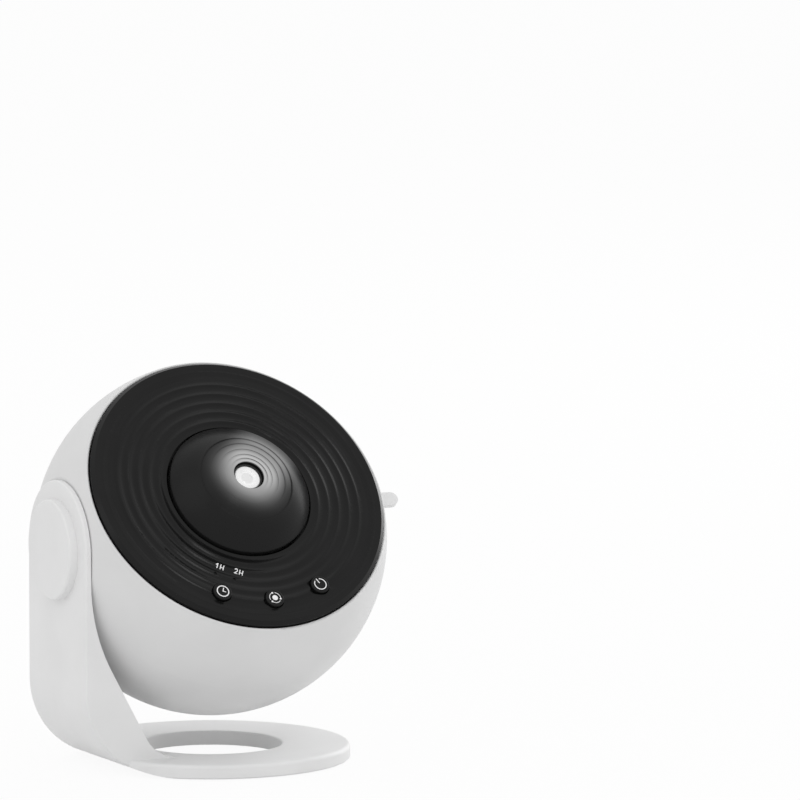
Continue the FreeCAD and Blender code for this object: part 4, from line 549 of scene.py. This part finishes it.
def arc(work, radius, width, start, end, middle=(0.0, 0.0), steps=64):
    """A flat strip along an arc, in millimetres and degrees. A full turn closes on itself."""
    closed = abs(end - start) >= 360
    count = max(4, round(steps * abs(end - start) / 360))
    rows = []
    for i in range(count if closed else count + 1):
        angle = math.radians(start + (end - start) * i / count)
        rows.append([work.verts.new((middle[0] + r * math.cos(angle),
                                     middle[1] + r * math.sin(angle), 0))
                     for r in (radius - width / 2, radius + width / 2)])
    pairs = list(zip(rows, rows[1:])) + ([(rows[-1], rows[0])] if closed else [])
    for (a, b), (c, d) in pairs:
        work.faces.new((a, b, d, c))


def disc(work, across, up, radius, steps=24):
    """A flat round spot, in millimetres."""
    work.faces.new([work.verts.new((across + radius * math.cos(2 * math.pi * i / steps),
                                    up + radius * math.sin(2 * math.pi * i / steps), 0))
                    for i in range(steps)])


def stroke(work, start, end, width):
    """A straight strip with square ends."""
    a, b = Vector(start), Vector(end)
    side = (b - a).normalized().orthogonal() * width / 2
    work.faces.new([work.verts.new((*p, 0)) for p in (a - side, b - side, b + side, a + side)])


def thickened(work):
    """Give flat faces the thickness of print, with sides and a closed back."""
    bmesh.ops.recalc_face_normals(work, faces=work.faces)
    for face in work.faces:
        if face.normal.z < 0:
            face.normal_flip()
    raised = bmesh.ops.extrude_face_region(work, geom=list(work.faces), use_keep_orig=True)
    for item in raised["geom"]:
        if isinstance(item, bmesh.types.BMVert):
            item.co.z += PRINT_THICKNESS
    bmesh.ops.recalc_face_normals(work, faces=work.faces)


def place_on_button(name):
    """The frame of an icon: on the button's top, with its head towards the middle of the face."""
    angle = math.radians(BUTTON_ANGLES[name])
    place = Matrix.Translation((BUTTON_CIRCLE * math.cos(angle),
                                BUTTON_CIRCLE * math.sin(angle), BUTTON_TOP))
    return BALL_FRAME @ Matrix.Scale(MM, 4) @ place @ Matrix.Rotation(
        angle + math.pi / 2, 4, "Z")


def icon(name, draw):
    """Print a drawing, in millimetres, on the button of this name."""
    work = bmesh.new()
    draw(work)
    thickened(work)
    mesh = bpy.data.meshes.new(f"{name}_icon")
    work.to_mesh(mesh)
    work.free()
    mesh.transform(place_on_button(name))
    new_piece(f"{name}_icon", mesh, "white_ink", name)


def clock(work):
    """A ring and two hands."""
    arc(work, 2.38, 0.42, 0, 360)
    stroke(work, (0, -0.18), (0, 1.63), 0.38)
    stroke(work, (0.19, 0), (1.26, 0), 0.36)


def orbit(work):
    """A spot with three small ones on arcs round it."""
    disc(work, 0, 0, 1.15, 40)
    for turn in (104, 224, 344):
        angle = math.radians(turn)
        disc(work, 2.3 * math.cos(angle), 2.3 * math.sin(angle), 0.4)
        arc(work, 2.3, 0.25, turn - 111, turn - 24)


def power_sign(work):
    """An open ring with an upright bar in the gap."""
    arc(work, 2.4, 0.38, 90 + 26, 90 + 360 - 26)
    stroke(work, (0, 0.5), (0, 2.75), 0.38)


icon("timer", clock)
icon("rotation", orbit)
icon("power", power_sign)


PANEL_FACE = BVHTree.FromObject(frame["nodes"]["face_panel"],
                                bpy.context.evaluated_depsgraph_get())


def panel_height(across, up):
    """How far out the panel's face stands at a place on it, in millimetres."""
    start = BALL_FRAME @ Vector((across * MM, up * MM, ABOVE_PANEL * MM))
    hit = PANEL_FACE.ray_cast(start, -LENS_AXIS)[0]
    return (BALL_FRAME.inverted() @ hit).z * PER_MM


def one(work, across):
    stroke(work, (across + 0.22, -CHARACTER_HALF), (across + 0.22, CHARACTER_HALF), 0.4)
    stroke(work, (across + 0.3, 1.02), (across - 0.5, 0.5), 0.36)


def two(work, across):
    arc(work, 0.55, 0.38, 165, -38, middle=(across, 0.46))
    stroke(work, (across + 0.5, 0.2), (across - 0.62, -1.02), 0.38)
    stroke(work, (across - 0.74, -0.97), (across + 0.76, -0.97), 0.36)


def letter_h(work, across):
    for side in (-0.62, 0.62):
        stroke(work, (across + side, -CHARACTER_HALF), (across + side, CHARACTER_HALF), 0.38)
    stroke(work, (across - 0.5, 0.0), (across + 0.5, 0.0), 0.34)


def hour_mark(name, digit, angle, radius, lean):
    """A digit and an H, 2.3 mm high, that lean and follow the ripples under them."""
    work = bmesh.new()
    digit(work, -1.1)
    letter_h(work, 1.05)
    for step in range(-8, 9):
        for axis in ((1, 0, 0), (0, 1, 0)):
            bmesh.ops.bisect_plane(work, geom=work.verts[:] + work.edges[:] + work.faces[:],
                                   plane_co=Vector(axis) * step * BEND_STEP, plane_no=axis)
    thickened(work)
    turn = math.radians(angle)
    place = Matrix.Translation((radius * math.cos(turn), radius * math.sin(turn), 0)) @ \
        Matrix.Rotation(math.radians(lean), 4, "Z")
    for vertex in work.verts:
        on_face = place @ vertex.co
        on_face.z = panel_height(on_face.x, on_face.y) + vertex.co.z
        vertex.co = on_face
    mesh = bpy.data.meshes.new(name)
    work.to_mesh(mesh)
    work.free()
    mesh.transform(BALL_FRAME @ Matrix.Scale(MM, 4))
    new_piece(name, mesh, "white_ink", "ball")


hour_mark("one_hour_mark", one, -119.0, HOUR_MARK_CIRCLE, -29.0)
hour_mark("two_hour_mark", two, -107.0, HOUR_MARK_CIRCLE, -26.0)


# ---------------------------------------------------------------- stars on the film

def star_printer():
    """Geometry nodes that scatter round spots of two sizes over a flat sheet."""
    group = bpy.data.node_groups.new("star_printer", "GeometryNodeTree")
    sides = {"Sheet": "NodeSocketGeometry", "Stars per square metre": "NodeSocketFloat",
             "Smallest radius": "NodeSocketFloat", "Largest radius": "NodeSocketFloat",
             "Seed": "NodeSocketInt", "Ink": "NodeSocketMaterial"}
    for name, kind in sides.items():
        group.interface.new_socket(name, in_out="INPUT", socket_type=kind)
    group.interface.new_socket("Stars", in_out="OUTPUT", socket_type="NodeSocketGeometry")
    given = add(group, "NodeGroupInput").outputs
    spots = add(group, "GeometryNodeDistributePointsOnFaces",
                {"Mesh": given["Sheet"], "Density": given["Stars per square metre"],
                 "Seed": given["Seed"]})
    chance = add(group, "FunctionNodeRandomValue", {"Seed": given["Seed"]}, data_type="FLOAT")
    # most stars are faint: the cube of an even chance
    rare = add(group, "ShaderNodeMath", {0: chance.outputs[1], 1: 3.0}, operation="POWER")
    size = add(group, "ShaderNodeMapRange", {"Value": rare.outputs["Value"],
                                             "To Min": given["Smallest radius"],
                                             "To Max": given["Largest radius"]})
    spot = add(group, "GeometryNodeMeshCylinder", {"Vertices": 8, "Radius": 1.0,
                                                   "Depth": PRINT_THICKNESS * MM})
    flat = add(group, "ShaderNodeCombineXYZ", {"X": size.outputs["Result"],
                                               "Y": size.outputs["Result"], "Z": 1.0})
    placed = add(group, "GeometryNodeInstanceOnPoints",
                 {"Points": spots.outputs["Points"], "Instance": spot.outputs["Mesh"],
                  "Scale": flat.outputs["Vector"]})
    real = add(group, "GeometryNodeRealizeInstances", {"Geometry": placed.outputs["Instances"]})
    inked = add(group, "GeometryNodeSetMaterial", {"Geometry": real.outputs["Geometry"],
                                                   "Material": given["Ink"]})
    add(group, "NodeGroupOutput", {"Stars": inked.outputs["Geometry"]})
    return group


def film_stars():
    """Stars on the lens side of the film, as plain mesh, turning with the film."""
    work = bmesh.new()
    bmesh.ops.create_circle(work, cap_ends=True, segments=64, radius=FILM_RADIUS * MM)
    sheet = bpy.data.meshes.new("film_sheet")
    work.to_mesh(sheet)
    work.free()
    carrier = bpy.data.objects.new("film_sheet", sheet)
    bpy.context.scene.collection.objects.link(carrier)
    nodes = carrier.modifiers.new("stars", "NODES")
    nodes.node_group = star_printer()
    sockets = {item.name: item.identifier for item in nodes.node_group.interface.items_tree
               if item.in_out == "INPUT"}
    for name, value in (("Stars per square metre", STARS_PER_SQUARE_METRE),
                        ("Smallest radius", FAINTEST_STAR * MM),
                        ("Largest radius", BRIGHTEST_STAR * MM), ("Seed", STAR_SEED),
                        ("Ink", MATERIALS["clear_star"])):
        nodes[sockets[name]] = value
    shown = carrier.evaluated_get(bpy.context.evaluated_depsgraph_get())
    stars = bpy.data.meshes.new_from_object(shown)
    bpy.data.objects.remove(carrier)
    bpy.data.meshes.remove(sheet)
    stars.name = "film_stars"
    stars.transform(BALL_FRAME @ Matrix.Translation((0, 0, FILM_TOP * MM)))
    new_piece("film_stars", stars, "clear_star", "disc")


film_stars()


# ---------------------------------------------------------------- floor, light and camera

def looked_at(tree):
    """One where the camera, gloss or glass looks, and nought for light on its way."""
    rays = add(tree, "ShaderNodeLightPath")
    seen = rays.outputs["Is Camera Ray"]
    for kind in ("Is Glossy Ray", "Is Transmission Ray"):
        both = add(tree, "ShaderNodeMath", {0: seen, 1: rays.outputs[kind]},
                   operation="MAXIMUM")
        seen = both.outputs["Value"]
    return seen


def floor():
    """A pale floor that the camera sees as white, with only the object's soft shadow on it."""
    work = bmesh.new()
    bmesh.ops.create_grid(work, x_segments=1, y_segments=1, size=FLOOR_REACH)
    mesh = bpy.data.meshes.new("studio_floor")
    work.to_mesh(mesh)
    work.free()
    made = bpy.data.materials.new("pale_floor_paint")
    made.use_nodes = True
    tree = made.node_tree
    tree.nodes.clear()
    paint = add(tree, "ShaderNodeBsdfDiffuse", {"Color": linear("#F2F2F2")})
    white = add(tree, "ShaderNodeEmission", {"Color": linear("#FFFFFF"), "Strength": 1.0})
    share = add(tree, "ShaderNodeMath", {0: looked_at(tree), 1: FLOOR_WHITENESS},
                operation="MULTIPLY")
    mixed = add(tree, "ShaderNodeMixShader", {0: share.outputs["Value"],
                                              1: paint.outputs["BSDF"],
                                              2: white.outputs["Emission"]})
    add(tree, "ShaderNodeOutputMaterial", {"Surface": mixed.outputs["Shader"]})
    mesh.materials.append(made)
    ground = bpy.data.objects.new("studio_floor", mesh)
    bpy.context.scene.collection.objects.link(ground)


def world():
    room = bpy.data.worlds.new("pale_studio")
    bpy.context.scene.world = room
    room.use_nodes = True
    tree = room.node_tree
    tree.nodes.clear()
    soft = add(tree, "ShaderNodeBackground", {"Color": linear("#FFFFFF"), "Strength": ROOM_LIGHT})
    white = add(tree, "ShaderNodeBackground", {"Color": linear("#FFFFFF"), "Strength": 1.0})
    mixed = add(tree, "ShaderNodeMixShader", {0: looked_at(tree), 1: soft.outputs["Background"],
                                              2: white.outputs["Background"]})
    add(tree, "ShaderNodeOutputWorld", {"Surface": mixed.outputs["Shader"]})


def softbox(name, direction, distance, size, power):
    """A square lamp that faces the ball from a direction. Metres and watts."""
    lamp = bpy.data.lights.new(name, "AREA")
    lamp.size = size
    lamp.energy = power
    box = bpy.data.objects.new(name, lamp)
    bpy.context.scene.collection.objects.link(box)
    away = Vector(direction).normalized()
    box.location = BALL_MIDDLE + away * distance
    box.rotation_mode = "QUATERNION"
    box.rotation_quaternion = away.to_track_quat("Z", "Y")


floor()
world()
softbox("left_softbox", (-0.75, -0.35, 0.75), 1.2, 0.8, 1.0)
softbox("right_softbox", (0.85, 0.35, 0.35), 1.7, 1.2, 6.5)
softbox("front_softbox", LENS_AXIS, 1.2, 0.22, 0.6)


def camera():
    """A long lens, a few metres off on the arm's side and a little above the ball."""
    azimuth, elevation = math.radians(AZIMUTH), math.radians(ELEVATION)
    back = Vector((math.sin(azimuth) * math.cos(elevation),
                   -math.cos(azimuth) * math.cos(elevation), math.sin(elevation)))
    right = Vector((math.cos(azimuth), math.sin(azimuth), 0.0))
    up = back.cross(right)
    across = (BALL_PIXEL[0] - FRAME_MIDDLE) / FOCAL_PIXELS * DISTANCE
    above = -(BALL_PIXEL[1] - FRAME_MIDDLE) / FOCAL_PIXELS * DISTANCE
    eye = bpy.data.objects.new("camera", bpy.data.cameras.new("camera"))
    bpy.context.scene.collection.objects.link(eye)
    eye.data.sensor_width = SENSOR_WIDTH
    eye.data.lens = FOCAL_PIXELS * SENSOR_WIDTH / (2 * FRAME_MIDDLE)
    eye.data.clip_start, eye.data.clip_end = 0.1, 100.0
    eye.location = BALL_MIDDLE + (back * DISTANCE - right * across - up * above) * MM
    eye.rotation_mode = "QUATERNION"
    eye.rotation_quaternion = Matrix((right, up, back)).transposed().to_quaternion()
    bpy.context.scene.camera = eye


camera()
bpy.context.scene.view_settings.view_transform = "Standard"
